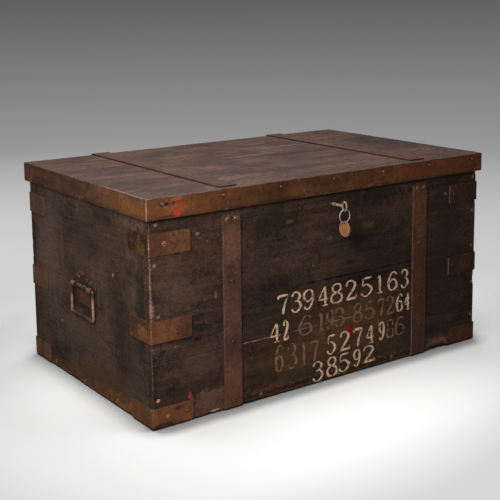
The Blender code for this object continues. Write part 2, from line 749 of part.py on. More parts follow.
def handle_plate(end, side):
    """A plate with an arched top, and two ears rolled forward for the bail."""
    half = HANDLE_PLATE_WIDTH / 2
    outline = [Vector((-half, 0)), Vector((half, 0)), Vector((half, HANDLE_PLATE_SIDE))]
    for step in range(HANDLE_ARCH_STEPS + 1):
        angle = math.pi * step / HANDLE_ARCH_STEPS
        across = HANDLE_ARCH_WIDTH / 2 * math.cos(angle)
        outline.append(Vector((across, HANDLE_PLATE_SIDE + HANDLE_PLATE_ARCH * math.sin(angle))))
    outline.append(Vector((-half, HANDLE_PLATE_SIDE)))
    name = f"{end}_handle_plate"
    mesh = outline_mesh(name, [outline], HANDLE_PLATE_THICKNESS, ACROSS_X)
    x = side * (HANDLE_PLATE_FACE - HANDLE_PLATE_THICKNESS / 2)
    plate = add(name, mesh, PLATE_IRON, (x, HANDLE_Y, HANDLE_PLATE_BOTTOM))
    outer = arc((0, 0), EAR_BORE + EAR_WALL, 0, 2 * math.pi, EAR_SIDES)[:-1]
    bore = arc((0, 0), EAR_BORE, 0, 2 * math.pi, EAR_SIDES)[:-1]
    length = EAR_OUTER_END - EAR_INNER_END
    for hand in (-1, 1):
        ear_name = f"{name}_ear_{hand + 1}"
        ear_mesh = outline_mesh(ear_name, [outer, bore], length, ACROSS_Y)
        middle = HANDLE_Y + hand * (EAR_OUTER_END + EAR_INNER_END) / 2
        combine(plate, add(ear_name, ear_mesh, place=(side * PIVOT_X, middle, PIVOT_Z)), "UNION")
    return plate


def bail(end, side, parent):
    """A round rod bent into a bail, with its tips turned in through the ears."""
    half = BAIL_WIDTH / 2
    tip = EAR_INNER_END + BAIL_TIP_INSET
    path = [(-tip, 0), (-half, 0), (-half, -BAIL_DROP), (half, -BAIL_DROP), (half, 0), (tip, 0)]
    name = f"{end}_bail"
    curve = bpy.data.curves.new(name, "CURVE")
    curve.dimensions = "3D"
    curve.bevel_depth = BAIL_ROD_RADIUS
    curve.bevel_resolution = BAIL_ROD_RESOLUTION
    curve.use_fill_caps = True
    spline = curve.splines.new("POLY")
    points = rounded(path, BAIL_CORNER / 2, BAIL_CORNER_STEPS)
    spline.points.add(len(points) - 1)
    for point, (across, along) in zip(spline.points, points):
        point.co = (0, across, along, 1)
    mesh = curve_mesh(name, curve)
    mesh.shade_smooth()
    mesh.set_sharp_from_angle(angle=math.radians(40))
    add(name, mesh, PLATE_IRON, (side * PIVOT_X, HANDLE_Y, PIVOT_Z), parent)


def build_handles():
    """A plate, its screws and a bail on each end."""
    for end, side in (("left", -1), ("right", 1)):
        handle_plate(end, side)
        bail(end, side, axis(f"{end}_bail_axis", (side * PIVOT_X, HANDLE_Y, PIVOT_Z)))
        out = Vector((side, 0, 0))
        for level, rise in HANDLE_SCREW_RISES.items():
            for hand, offset in (("front", -HANDLE_SCREW_SPREAD / 2), ("back", HANDLE_SCREW_SPREAD / 2)):
                name = f"{end}_handle_screw_{level}_{hand}"
                place = (side * HANDLE_PLATE_FACE, HANDLE_Y + offset, HANDLE_PLATE_BOTTOM + rise)
                screw(name, place, out, HANDLE_SCREW_RADIUS, HANDLE_SCREW_HEIGHT)


def build_lock_case():
    """A case open to the front board, with flanges, a bolt pad and a slot in its top."""
    half = CASE_WIDTH / 2
    front = FRONT_INNER_Y + FIT
    bottom = CASE_TOP - CASE_HEIGHT
    case = block("lock_case", (-half, front, bottom), (half, CASE_BACK_Y, CASE_TOP), LOCK_IRON)
    flange = block(
        "lock_case_flange",
        (-half - FLANGE_WIDTH, front, bottom + CASE_WALL),
        (half + FLANGE_WIDTH, front + CASE_WALL, CASE_TOP - CASE_WALL),
    )
    combine(case, flange, "UNION")
    hollow = block(
        "lock_case_hollow",
        (-half + CASE_WALL, front - CUT_OVERRUN, bottom + CASE_WALL),
        (half - CASE_WALL, CASE_INNER_BACK_Y, CASE_TOP - CASE_WALL),
    )
    combine(case, hollow)
    tip = STAPLE_X + STAPLE_WIDTH / 2 + BOLT_TIP_CLEARANCE
    pad = block(
        "lock_case_pad",
        (tip, BOLT_Y + BOLT_THICKNESS / 2 + FIT, BOLT_BOTTOM),
        (tip + BOLT_PAD_LENGTH, CASE_BACK_Y - CASE_WALL / 2, BOLT_TOP),
    )
    combine(case, pad, "UNION")
    across = STAPLE_WIDTH / 2 + SLOT_CLEARANCE
    slot = block(
        "lock_case_slot",
        (STAPLE_X - across, BOLT_Y - staple_half_depth() - SLOT_CLEARANCE, CASE_TOP - 2 * CASE_WALL),
        (STAPLE_X + across, BOLT_Y + staple_half_depth() + SLOT_CLEARANCE, CASE_TOP + CUT_OVERRUN),
    )
    combine(case, slot)
    for end, side in (("left", -1), ("right", 1)):
        place = (side * (half + FLANGE_WIDTH / 2), front + CASE_WALL, CASE_TOP - CASE_HEIGHT / 2)
        screw(f"lock_screw_{end}", place, BACKWARD, LOCK_SCREW_RADIUS, LOCK_SCREW_HEIGHT)


def staple_half_depth():
    """Half the staple loop's size along Y, round the bolt."""
    return BOLT_THICKNESS / 2 + STAPLE_CLEARANCE + STAPLE_WALL


def build_staple(lid):
    """A plate under the lid with a loop that drops into the lock."""
    plate_top = LID_BOTTOM - FIT
    plate_bottom = plate_top - STAPLE_PLATE_THICKNESS
    half = STAPLE_PLATE_LENGTH / 2
    back = BOLT_Y + staple_half_depth()
    front = max(back - STAPLE_PLATE_DEPTH, FRONT_INNER_Y + FIT)
    staple = block(
        "lock_staple",
        (STAPLE_X - half, front, plate_bottom),
        (STAPLE_X + half, front + STAPLE_PLATE_DEPTH, plate_top),
        LOCK_IRON,
        lid,
    )
    loop = block(
        "lock_staple_loop",
        (
            STAPLE_X - STAPLE_WIDTH / 2,
            BOLT_Y - staple_half_depth(),
            STAPLE_WINDOW_BOTTOM - STAPLE_WALL,
        ),
        (
            STAPLE_X + STAPLE_WIDTH / 2,
            BOLT_Y + staple_half_depth(),
            plate_top - STAPLE_PLATE_THICKNESS / 2,
        ),
    )
    combine(staple, loop, "UNION")
    window = block(
        "lock_staple_window",
        (
            STAPLE_X - STAPLE_WIDTH,
            BOLT_Y - BOLT_THICKNESS / 2 - STAPLE_CLEARANCE,
            STAPLE_WINDOW_BOTTOM,
        ),
        (
            STAPLE_X + STAPLE_WIDTH,
            BOLT_Y + BOLT_THICKNESS / 2 + STAPLE_CLEARANCE,
            STAPLE_WINDOW_TOP,
        ),
    )
    combine(staple, window)
    spots = []
    for offset in (-STAPLE_SCREW_SPREAD / 2, STAPLE_SCREW_SPREAD / 2):
        place = (STAPLE_X + offset, front + STAPLE_PLATE_DEPTH / 2, plate_bottom)
        spots.append((place, -UP))
    add_heads(staple, spots, STAPLE_SCREW_RADIUS, STAPLE_SCREW_HEIGHT)


def build_bolt():
    """A sliding bar, drawn back at rest, with two talons that the key's bit works between."""
    tip = STAPLE_X + STAPLE_WIDTH / 2 + BOLT_TIP_CLEARANCE
    middle = BOLT_TRAVEL / 2
    left_inner = middle - TALON_GAP / 2
    right_inner = middle + TALON_GAP / 2
    outline = [
        (tip, BOLT_BOTTOM),
        (left_inner - TALON_WIDTH, BOLT_BOTTOM),
        (left_inner - TALON_WIDTH, TALON_BOTTOM),
        (left_inner, TALON_BOTTOM),
        (left_inner, TALON_TOP),
        (right_inner, TALON_TOP),
        (right_inner, TALON_BOTTOM),
        (right_inner + TALON_WIDTH, TALON_BOTTOM),
        (right_inner + TALON_WIDTH, BOLT_BOTTOM),
        (BOLT_TAIL_END, BOLT_BOTTOM),
        (BOLT_TAIL_END, BOLT_TOP),
        (tip, BOLT_TOP),
    ]
    mesh = outline_mesh("lock_bolt", [outline], BOLT_THICKNESS, ACROSS_Y)
    add("lock_bolt", mesh, LOCK_IRON, (0, BOLT_Y, 0))


def build_key(turning):
    """A pipe key: stem, collar, bit and bow, bored for the drill pin."""
    length = KEY_END_Y - (FRONT_Y - KEY_STEM_OUT - BOW_WIRE_RADIUS)
    middle = KEY_END_Y - length / 2
    stem = cylinder_mesh("key", KEY_STEM_RADIUS, length, KEY_STEM_SIDES, BACKWARD)
    key = add("key", stem, KEY_STEEL, (0, middle, KEY_HEIGHT), turning)
    collar = cylinder_mesh("key_collar", COLLAR_RADIUS, COLLAR_WIDTH, KEY_STEM_SIDES, BACKWARD)
    collar_place = (0, FRONT_Y - COLLAR_OUT, KEY_HEIGHT)
    combine(key, add("key_collar", collar, place=collar_place), "UNION")
    bit = block(
        "key_bit",
        (-BIT_THICKNESS / 2, BOLT_Y - BIT_WIDTH / 2, KEY_HEIGHT - BIT_REACH),
        (BIT_THICKNESS / 2, BOLT_Y + BIT_WIDTH / 2, KEY_HEIGHT - KEY_STEM_RADIUS / 2),
    )
    combine(key, bit, "UNION")
    bow = ring_mesh("key_bow", BOW_HEIGHT / 2 - BOW_WIRE_RADIUS, BOW_WIRE_RADIUS, BOW_STEPS, BOW_SIDES)
    deep = (BOW_DEPTH - 2 * BOW_WIRE_RADIUS) / (BOW_HEIGHT - 2 * BOW_WIRE_RADIUS)
    bow.transform(Matrix.Diagonal((1, deep, 1, 1)) @ ACROSS_X)
    combine(key, add("key_bow", bow, place=(0, BOW_Y, KEY_HEIGHT)), "UNION")
    bore = cylinder_mesh(
        "key_bore",
        DRILL_PIN_RADIUS + KEY_BORE_CLEARANCE,
        KEY_BORE_DEPTH + CUT_OVERRUN,
        KEY_STEM_SIDES,
        BACKWARD,
    )
    bore_y = KEY_END_Y - KEY_BORE_DEPTH / 2 + CUT_OVERRUN / 2
    combine(key, add("key_bore", bore, place=(0, bore_y, KEY_HEIGHT)))
    pin_start = KEY_END_Y - DRILL_PIN_REACH
    pin_end = CASE_INNER_BACK_Y - FIT
    pin = cylinder_mesh("lock_drill_pin", DRILL_PIN_RADIUS, pin_end - pin_start, 10, BACKWARD)
    add("lock_drill_pin", pin, LOCK_IRON, (0, (pin_start + pin_end) / 2, KEY_HEIGHT))


def ring_mesh(name, radius, wire, steps, sides):
    """A round wire ring that lies flat about its own middle."""
    shape = bmesh.new()
    circle = bmesh.ops.create_circle(shape, segments=sides, radius=wire)
    upright = Matrix.Translation((radius, 0, 0)) @ Matrix.Rotation(math.pi / 2, 4, "X")
    bmesh.ops.transform(shape, matrix=upright, verts=circle["verts"])
    bmesh.ops.spin(
        shape,
        geom=shape.verts[:] + shape.edges[:],
        cent=(0, 0, 0),
        axis=(0, 0, 1),
        angle=2 * math.pi,
        steps=steps,
        use_merge=True,
    )
    bmesh.ops.recalc_face_normals(shape, faces=shape.faces)
    mesh = bpy.data.meshes.new(name)
    shape.to_mesh(mesh)
    shape.free()
    mesh.shade_smooth()
    return mesh


def build_key_ring(hanging):
    """A wire ring through the key's bow."""
    mesh = ring_mesh("key_ring", RING_RADIUS, RING_WIRE_RADIUS, RING_STEPS, RING_SIDES)
    mesh.transform(ACROSS_Y)
    mesh.flip_normals()
    add("key_ring", mesh, KEY_STEEL, (0, BOW_Y, RING_CENTRE), hanging)


def build_key_fob(hanging):
    """A plain round tag with a raised rim, hung on the ring by a hole."""
    profile = (
        (0, FOB_THICKNESS / 2),
        (FOB_RADIUS - FOB_RIM_WIDTH, FOB_THICKNESS / 2),
        (FOB_RADIUS - FOB_RIM_WIDTH / 2, FOB_RIM_THICKNESS / 2),
        (FOB_RADIUS, FOB_THICKNESS / 2),
        (FOB_RADIUS, -FOB_THICKNESS / 2),
        (FOB_RADIUS - FOB_RIM_WIDTH / 2, -FOB_RIM_THICKNESS / 2),
        (FOB_RADIUS - FOB_RIM_WIDTH, -FOB_THICKNESS / 2),
        (0, -FOB_THICKNESS / 2),
    )
    shape = bmesh.new()
    verts = [shape.verts.new((across, 0, along)) for across, along in profile]
    for one, other in zip(verts, verts[1:]):
        shape.edges.new((one, other))
    bmesh.ops.spin(
        shape,
        geom=shape.verts[:] + shape.edges[:],
        cent=(0, 0, 0),
        axis=(0, 0, 1),
        angle=2 * math.pi,
        steps=FOB_STEPS,
        use_merge=True,
    )
    bmesh.ops.remove_doubles(shape, verts=shape.verts, dist=1e-6)
    bmesh.ops.transform(shape, matrix=ACROSS_X, verts=shape.verts)
    bmesh.ops.recalc_face_normals(shape, faces=shape.faces)
    mesh = bpy.data.meshes.new("key_fob")
    shape.to_mesh(mesh)
    shape.free()
    fob = add("key_fob", mesh, FOB_COPPER, (0, BOW_Y, FOB_CENTRE), hanging)
    length = FOB_RIM_THICKNESS + 2 * CUT_OVERRUN
    hole = cylinder_mesh("key_fob_hole", FOB_HOLE_RADIUS, length, 12, (1, 0, 0))
    combine(fob, add("key_fob_hole", hole, place=(0, BOW_Y, FOB_HOLE)))


def build():
    """Build the whole trunk."""
    build_carcass()
    build_corner_plates()
    lid = axis("lid_axis", (0, HINGE_Y, HINGE_HEIGHT))
    build_lid(lid)
    build_front_straps()
    build_hinges(lid)
    build_handles()
    build_lock_case()
    build_staple(lid)
    build_bolt()
    turning = axis("key_axis", (0, FRONT_Y, KEY_HEIGHT))
    build_key(turning)
    ring_axis = axis("key_ring_axis", (0, BOW_Y, RING_TOP), turning)
    build_key_ring(ring_axis)
    build_key_fob(axis("key_fob_axis", (0, BOW_Y, RING_BOTTOM), ring_axis))


build()
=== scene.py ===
"""Looks of an old steamer trunk: dark boards, rusty iron band, straps and corner plates, a drop handle on each end, and
a key with its ring and tag in the lock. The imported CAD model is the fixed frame. This script dresses its nodes, adds
the painted numerals and the nails in the bare boards, lights it, and sets the camera where the photograph was taken."""

import logging
import math
import statistics
from dataclasses import dataclass, field, replace
from enum import Enum
from fnmatch import fnmatchcase

import bmesh
import bpy
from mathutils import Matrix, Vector, noise


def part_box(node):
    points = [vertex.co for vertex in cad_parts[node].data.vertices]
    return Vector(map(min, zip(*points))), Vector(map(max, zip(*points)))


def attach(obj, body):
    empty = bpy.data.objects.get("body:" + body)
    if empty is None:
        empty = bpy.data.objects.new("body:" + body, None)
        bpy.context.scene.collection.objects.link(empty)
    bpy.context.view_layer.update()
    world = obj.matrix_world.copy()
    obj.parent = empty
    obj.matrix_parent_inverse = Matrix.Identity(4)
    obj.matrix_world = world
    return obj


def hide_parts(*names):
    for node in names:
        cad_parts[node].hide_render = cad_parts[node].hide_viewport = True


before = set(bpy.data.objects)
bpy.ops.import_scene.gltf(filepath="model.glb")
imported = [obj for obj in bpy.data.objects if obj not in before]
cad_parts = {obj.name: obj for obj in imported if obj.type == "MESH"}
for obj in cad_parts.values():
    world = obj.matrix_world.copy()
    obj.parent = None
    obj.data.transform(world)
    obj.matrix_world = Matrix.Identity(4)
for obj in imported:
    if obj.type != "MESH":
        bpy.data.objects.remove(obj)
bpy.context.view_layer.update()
LOG = logging.getLogger("trunk")

Colour = tuple[float, float, float, float]
Triple = tuple[float, float, float]
Socket = bpy.types.NodeSocket
Coat = Socket | Colour | float


def linear(hex_colour: str) -> Colour:
    """Turns an sRGB hex colour into the linear colour that a shader takes.

    Args:
        hex_colour: "#rrggbb".

    Returns:
        Red, green, blue and an alpha of 1, from 0 to 1.
    """
    shares = [int(hex_colour[i : i + 2], 16) / 255 for i in (1, 3, 5)]
    red, green, blue = (s / 12.92 if s <= 0.04045 else ((s + 0.055) / 1.055) ** 2.4 for s in shares)
    return red, green, blue, 1.0


def add_node(tree: bpy.types.NodeTree, kind: str, inputs: dict | None = None, **settings: object) -> bpy.types.Node:
    """Adds a node, chooses its options, and fills its sockets with values or links.

    Args:
        tree: The tree that gets the node.
        kind: The node's Blender class.
        inputs: Socket name or number to a value, or to the output socket that feeds it.
        settings: The node's own options.

    Returns:
        The new node.
    """
    node = tree.nodes.new(kind)
    for name, value in settings.items():
        setattr(node, name, value)
    for key, value in (inputs or {}).items():
        if isinstance(value, Socket):
            tree.links.new(value, node.inputs[key])
        else:
            node.inputs[key].default_value = value
    return node


def join_rings(mesh: bmesh.types.BMesh, rings: list[list[bmesh.types.BMVert]], smooth: bool = True) -> None:
    """Lays faces from each ring of points to the next.

    Args:
        mesh: The mesh that gets them.
        rings: The rings, with as many points in each.
        smooth: Whether the faces are shaded as one curved surface.
    """
    for first, second in zip(rings, rings[1:]):
        for k in range(len(first)):
            n = (k + 1) % len(first)
            mesh.faces.new((first[k], first[n], second[n], second[k])).smooth = smooth


# ---------------------------------------------------------------------------------------------------------- patterns
# Every pattern is laid out in the part's own frame, in metres, so it stays on the piece when a body moves.

# Blender's noise keeps near a bell curve round 0.5 with this spread, which turns a share of the surface into a level.
NOISE_SPREAD = 0.12
# How strong each finer octave of a ragged pattern is.
OCTAVE = 0.6
# How far a cloud pushes a mark's edge from its lowest place to its highest, in reaches, where the mark is fully ragged.
TEAR = 3.0
# The finest bites that a blot's edge has, and how soon a worn line's ends fade, in millimetres.
FINEST_BITE = 2.0
END_FADE = 2.0


@dataclass(frozen=True)
class Blot:
    """One stain, worn place, dab of paint, painted shade or painted highlight, in millimetres in the part's frame.

    Attributes:
        centre: Its middle.
        reach: How far it spreads along each axis.
        colour: What it shows.
        cover: How strongly it covers.
        ragged: How uneven its edge is, from 0.
        soft: How slowly it fades, as a share of its reach.
    """

    centre: Triple
    reach: Triple
    colour: str
    cover: float = 1.0
    ragged: float = 0.6
    soft: float = 0.35


@dataclass(frozen=True)
class LineMark:
    """A mark that follows a level of the part's frame, such as an edge, in millimetres: worn places, cracks and painted
    highlights.

    Attributes:
        axis: The axis that the level is measured on: 0, 1 or 2.
        level: The level.
        reach: How far the mark spreads from it.
        colour: What the mark shows.
        cover: How strongly it covers.
        bite: The length of one ragged bite.
        between: The axis and the two ends that the mark stays between, if it has ends.
    """

    axis: int
    level: float
    reach: float
    colour: str
    cover: float = 1.0
    bite: float = 30.0
    between: tuple[int, float, float] | None = None


Mark = Blot | LineMark


@dataclass
class Surface:
    """A material's node tree, with the features that old wood and old iron share.

    Attributes:
        name: The material's name.
        material: The material.
        tree: Its node tree.
        place: Each point's place in the part's frame, in metres.
        clouds: The clouds that ragged edges share, by the power of two that they are scaled by.
    """

    name: str
    material: bpy.types.Material = field(init=False)
    tree: bpy.types.NodeTree = field(init=False)
    place: Socket = field(init=False)
    clouds: dict[int, Socket] = field(init=False, default_factory=dict)

    def __post_init__(self) -> None:
        """Starts the material's tree with the place of each point in the part's frame."""
        self.material = bpy.data.materials.new(self.name)
        self.material.use_nodes = True
        self.tree = self.material.node_tree
        self.tree.nodes.clear()
        self.place = add_node(self.tree, "ShaderNodeTexCoord").outputs["Object"]

    def patches(
        self,
        size: float,
        share: float,
        soft: float = 0.05,
        stretch: Triple = (1, 1, 1),
        start: float = 0.0,
        detail: float = 5.0,
    ) -> Socket:
        """Marks irregular patches, from 0 outside them to 1 inside.

        Args:
            size: A patch's length in metres, along an axis whose stretch is 1.
            share: The part of the surface that the patches cover.
            soft: How slowly a patch fades out at its edge.
            stretch: How many times narrower a patch is along each axis.
            start: Where in the endless pattern this one starts.
            detail: How ragged the edge is.

        Returns:
            The mark.
        """
        spot = add_node(
            self.tree,
            "ShaderNodeVectorMath",
            {0: self.place, 1: [s / size for s in stretch], 2: (start, start * 1.7, start * 0.6)},
            operation="MULTIPLY_ADD",
        )
        cloud = add_node(
            self.tree,
            "ShaderNodeTexNoise",
            {"Vector": spot.outputs[0], "Scale": 1.0, "Detail": detail, "Roughness": OCTAVE},
        )
        edge = 0.5 + NOISE_SPREAD * statistics.NormalDist().inv_cdf(1 - share)
        mark = add_node(
            self.tree,
            "ShaderNodeMapRange",
            {"Value": cloud.outputs[0], "From Min": edge - soft, "From Max": edge + soft},
            interpolation_type="SMOOTHSTEP",
        )
        return mark.outputs[0]

    def lines(self, size: float, width: float, stretch: Triple, turn: Triple, start: float) -> Socket:
        """Marks long thin lines, such as scratches or cracks, from 0 beside them to 1 on them.

        Args:
            size: A line's length in metres before it bends.
            width: How much of the pattern's height a line takes, such as 0.004 for a scratch.
            stretch: How many times closer the lines are along each axis.
            turn: The pattern's rotation in degrees about each axis.
            start: Where in the endless pattern this one starts.

        Returns:
            The mark.
        """
        turned = add_node(
            self.tree,
            "ShaderNodeMapping",
            {"Vector": self.place, "Location": (start, start, start), "Rotation": [math.radians(t) for t in turn]},
        )
        spot = add_node(
            self.tree,
            "ShaderNodeVectorMath",
            {0: turned.outputs[0], 1: [s / size for s in stretch]},
            operation="MULTIPLY",
        )
        cloud = add_node(self.tree, "ShaderNodeTexNoise", {"Vector": spot.outputs[0], "Scale": 1.0, "Detail": 2.0})
        off = add_node(self.tree, "ShaderNodeMath", {0: cloud.outputs[0], 1: 0.5}, operation="SUBTRACT")
        gap = add_node(self.tree, "ShaderNodeMath", {0: off.outputs[0]}, operation="ABSOLUTE")
        mark = add_node(
            self.tree,
            "ShaderNodeMapRange",
            {"Value": gap.outputs[0], "From Min": width, "From Max": width * 0.3},
            interpolation_type="SMOOTHSTEP",
        )
        return mark.outputs[0]

    def cloud(self, size: float) -> Socket:
        """Gives the raggedness that marks of about the same size share.

        Args:
            size: How large the bites are, in millimetres.

        Returns:
            A cloud from 0 to 1.
        """
        step = round(math.log2(1000 / size))
        if step not in self.clouds:
            times = [2.0**step] * 3
            spot = add_node(self.tree, "ShaderNodeVectorMath", {0: self.place, 1: times}, operation="MULTIPLY")
            noisy = {"Vector": spot.outputs[0], "Scale": 1.0, "Detail": 4.0, "Roughness": OCTAVE}
            self.clouds[step] = add_node(self.tree, "ShaderNodeTexNoise", noisy).outputs[0]
        return self.clouds[step]

    def placed_marks(self, marks: tuple[Mark, ...]) -> list[tuple[Socket, Colour]]:
        """Turns placed marks into layers for coats().

        Args:
            marks: The marks, from the lowest up.

        Returns:
            Each mark with its colour.
        """
        layers = []
        for mark in marks:
            shape = self.blot(mark) if isinstance(mark, Blot) else self.line_mark(mark)
            layers.append((self.both(shape, shape, mark.cover), linear(mark.colour)))
        return layers

    def blot(self, mark: Blot) -> Socket:
        """Marks one blot.

        Args:
            mark: The blot.

        Returns:
            The mark, from 0 round the blot to 1 in it.
        """
        away = add_node(
            self.tree,
            "ShaderNodeVectorMath",
            {0: self.place, 1: [1000 / r for r in mark.reach], 2: [-c / r for c, r in zip(mark.centre, mark.reach)]},
            operation="MULTIPLY_ADD",
        )
        far = add_node(self.tree, "ShaderNodeVectorMath", {0: away.outputs[0]}, operation="LENGTH")
        total = add_node(
            self.tree,
            "ShaderNodeMath",
            {0: self.cloud(max(min(mark.reach) / 2, FINEST_BITE)), 1: mark.ragged * TEAR, 2: far.outputs["Value"]},
            operation="MULTIPLY_ADD",
        )
        # It starts to show a tenth of its reach outside its edge.
        edge = 1.0 + mark.ragged * TEAR / 2
        shape = add_node(
            self.tree,
            "ShaderNodeMapRange",
            {"Value": total.outputs[0], "From Min": edge + 0.1, "From Max": edge - mark.soft},
            interpolation_type="SMOOTHSTEP",
        )
        return shape.outputs[0]

    def line_mark(self, mark: LineMark) -> Socket:
        """Marks a line along a level, with a ragged edge.

        Args:
            mark: The level and the line along it.

        Returns:
            The mark, from 0 beside the level to 1 on it.
        """
        parts = add_node(self.tree, "ShaderNodeSeparateXYZ", {0: self.place})
        off = add_node(
            self.tree, "ShaderNodeMath", {0: parts.outputs[mark.axis], 1: mark.level / 1000}, operation="SUBTRACT"
        )
        gap = add_node(self.tree, "ShaderNodeMath", {0: off.outputs[0]}, operation="ABSOLUTE")
        reach = mark.reach / 1000
        bitten = add_node(
            self.tree,
            "ShaderNodeMath",
            {0: self.cloud(mark.bite), 1: reach * TEAR, 2: gap.outputs[0]},
            operation="MULTIPLY_ADD",
        )
        shape = add_node(
            self.tree,
            "ShaderNodeMapRange",
            {"Value": bitten.outputs[0], "From Min": reach * (TEAR / 2 + 1.0), "From Max": reach * (TEAR / 2 + 0.2)},
            interpolation_type="SMOOTHSTEP",
        ).outputs[0]
        if mark.between:
            axis, low, high = mark.between
            for start, stop in ((low - END_FADE, low), (high + END_FADE, high)):
                ends = {"Value": parts.outputs[axis], "From Min": start / 1000, "From Max": stop / 1000}
                shape = self.both(shape, add_node(self.tree, "ShaderNodeMapRange", ends).outputs[0])
        return shape

    def inside(self, low: Triple, high: Triple) -> Socket:
        """Marks what lies within a box.

        Args:
            low: The box's lowest corner in millimetres.
            high: Its highest corner.

        Returns:
            The mark: 1 in the box, 0 outside it.
        """
        middle = [(a + b) / 2000 for a, b in zip(low, high)]
        half = [(b - a) / 2000 for a, b in zip(low, high)]
        off = add_node(
            self.tree,
            "ShaderNodeVectorMath",
            {0: self.place, 1: [1 / h for h in half], 2: [-m / h for m, h in zip(middle, half)]},
            operation="MULTIPLY_ADD",
        )
        far = add_node(self.tree, "ShaderNodeVectorMath", {0: off.outputs[0]}, operation="ABSOLUTE")
        parts = add_node(self.tree, "ShaderNodeSeparateXYZ", {0: far.outputs[0]})
        wide = add_node(self.tree, "ShaderNodeMath", {0: parts.outputs[0], 1: parts.outputs[1]}, operation="MAXIMUM")
        most = add_node(self.tree, "ShaderNodeMath", {0: wide.outputs[0], 1: parts.outputs[2]}, operation="MAXIMUM")
        return add_node(self.tree, "ShaderNodeMath", {0: most.outputs[0], 1: 1.0}, operation="LESS_THAN").outputs[0]

    def both(self, first: Socket, second: Socket, share: float = 1.0) -> Socket:
        """Marks where two marks meet, at a share of their full strength."""
        product = add_node(self.tree, "ShaderNodeMath", {0: first, 1: second}, operation="MULTIPLY")
        return add_node(self.tree, "ShaderNodeMath", {0: product.outputs[0], 1: share}, operation="MULTIPLY").outputs[0]

    def brushed(self, layer: str) -> Socket:
        """Marks a brush stroke's film, ragged along its edges.

        Args:
            layer: The mesh layer that is 1 along the stroke's middle and 0 on its edges.

        Returns:
            The mark.
        """
        body = add_node(self.tree, "ShaderNodeAttribute", attribute_name=layer).outputs["Fac"]
        # The edge is torn about every 4 mm, the width of a few bristles.
        spot = add_node(self.tree, "ShaderNodeVectorMath", {0: self.place, 1: [1 / 0.004] * 3}, operation="MULTIPLY")
        cloud = add_node(self.tree, "ShaderNodeTexNoise", {"Vector": spot.outputs[0], "Scale": 1.0, "Detail": 3.0})
        total = add_node(self.tree, "ShaderNodeMath", {0: body, 1: cloud.outputs[0]}, operation="ADD")
        mark = add_node(
            self.tree, "ShaderNodeMapRange", {"Value": total.outputs[0], "From Min": 0.55, "From Max": 0.85}
        )
        return mark.outputs[0]

    def rubbed_edges(self, radius: float) -> Socket:
        """Marks the sharp outside edges that hands and other luggage have rubbed.

        Args:
            radius: How wide the rubbed line is in metres.

        Returns:
            The mark.
        """
        soft = add_node(self.tree, "ShaderNodeBevel", {"Radius": radius}, samples=4)
        flat = add_node(self.tree, "ShaderNodeNewGeometry")
        same = add_node(
            self.tree, "ShaderNodeVectorMath", {0: soft.outputs[0], 1: flat.outputs["Normal"]}, operation="DOT_PRODUCT"
        )
        # These are the cosines of 10 and 26 degrees between the flat normal and the rounded one.
        mark = add_node(
            self.tree, "ShaderNodeMapRange", {"Value": same.outputs["Value"], "From Min": 0.985, "From Max": 0.90}
        )
        return mark.outputs[0]

    def hollows_grime_and_shade(self, reach: float, dark: float = 0.75) -> Socket:
        """Marks the hollows, such as round a nail head: grime gathers there, and a colour laid on it paints their shade
        too.

        Args:
            reach: How far the mark spreads from a corner, in metres.
            dark: The openness below which the mark is at its full strength.

        Returns:
            The mark.
        """
        open_sky = add_node(self.tree, "ShaderNodeAmbientOcclusion", {"Distance": reach}, samples=4)
        mark = add_node(
            self.tree, "ShaderNodeMapRange", {"Value": open_sky.outputs["AO"], "From Min": 0.98, "From Max": dark}
        )
        return mark.outputs[0]

    def coats(self, base: Coat, layers: list[tuple[Socket, Coat]]) -> Coat:
        """Lays colours or values over each other, each where its mark says.

        Args:
            base: What shows where no mark does.
            layers: Each mark with the colour or value that it brings, from the lowest up.

        Returns:
            The topmost layer.
        """
        colours = isinstance(base, tuple) or getattr(base, "type", "") == "RGBA"
        # A Mix node has its two colours in sockets 6 and 7 and its two numbers in 2 and 3.
        first, result = (6, 2) if colours else (2, 0)
        under = base
        for mark, over in layers:
            mixed = add_node(
                self.tree,
                "ShaderNodeMix",
                {0: mark, first: under, first + 1: over},
                data_type="RGBA" if colours else "FLOAT",
            )
            under = mixed.outputs[result]
        return under

    def relief(self, heights: list[tuple[Socket, float]]) -> Socket:
        """Turns marks into the lie of the surface.

        Args:
            heights: Pairs of a mark and how high it stands, in metres. A hollow is below 0.

        Returns:
            The shader's normal.
        """
        height: Socket | float = 0.0
        for mark, rise in heights:
            height = add_node(
                self.tree, "ShaderNodeMath", {0: mark, 1: rise, 2: height}, operation="MULTIPLY_ADD"
            ).outputs[0]
        return add_node(self.tree, "ShaderNodeBump", {"Height": height, "Distance": 1.0, "Strength": 1.0}).outputs[0]

    def close(
        self, colour: Socket | Colour, roughness: Socket | float, normal: Socket, **rest: object
    ) -> bpy.types.Material:
        """Feeds the shader and ends the material.

        Args:
            colour: Its base colour.
            roughness: Its roughness.
            normal: Its bumped normal.
            rest: Further sockets of the shader, with _ for a space in their names.

        Returns:
            The finished material.
        """
        inputs = {"Base Color": colour, "Roughness": roughness, "Normal": normal}
        inputs |= {name.replace("_", " "): value for name, value in rest.items()}
        shader = add_node(self.tree, "ShaderNodeBsdfPrincipled", inputs)
        add_node(self.tree, "ShaderNodeOutputMaterial", {"Surface": shader.outputs[0]})
        return self.material


# ---------------------------------------------------------------------------------------------------------- finishes


class Grain(Enum):
    """Which way a board's grain runs, as how many times closer the pattern lies along each axis."""

    LENGTHWAYS = (1.0, 14.0, 14.0)
    CROSSWAYS = (14.0, 1.0, 14.0)

    def finer(self, times: float) -> Triple:
        """Squeezes the pattern further across the grain."""
        return tuple(s if s == 1.0 else s * times for s in self.value)


# The room inside the walls and under the lid, in millimetres. Its faces were never coated.
INSIDE = ((-428.8, -229.6, 3.0), (428.8, 278.0, 438.2))


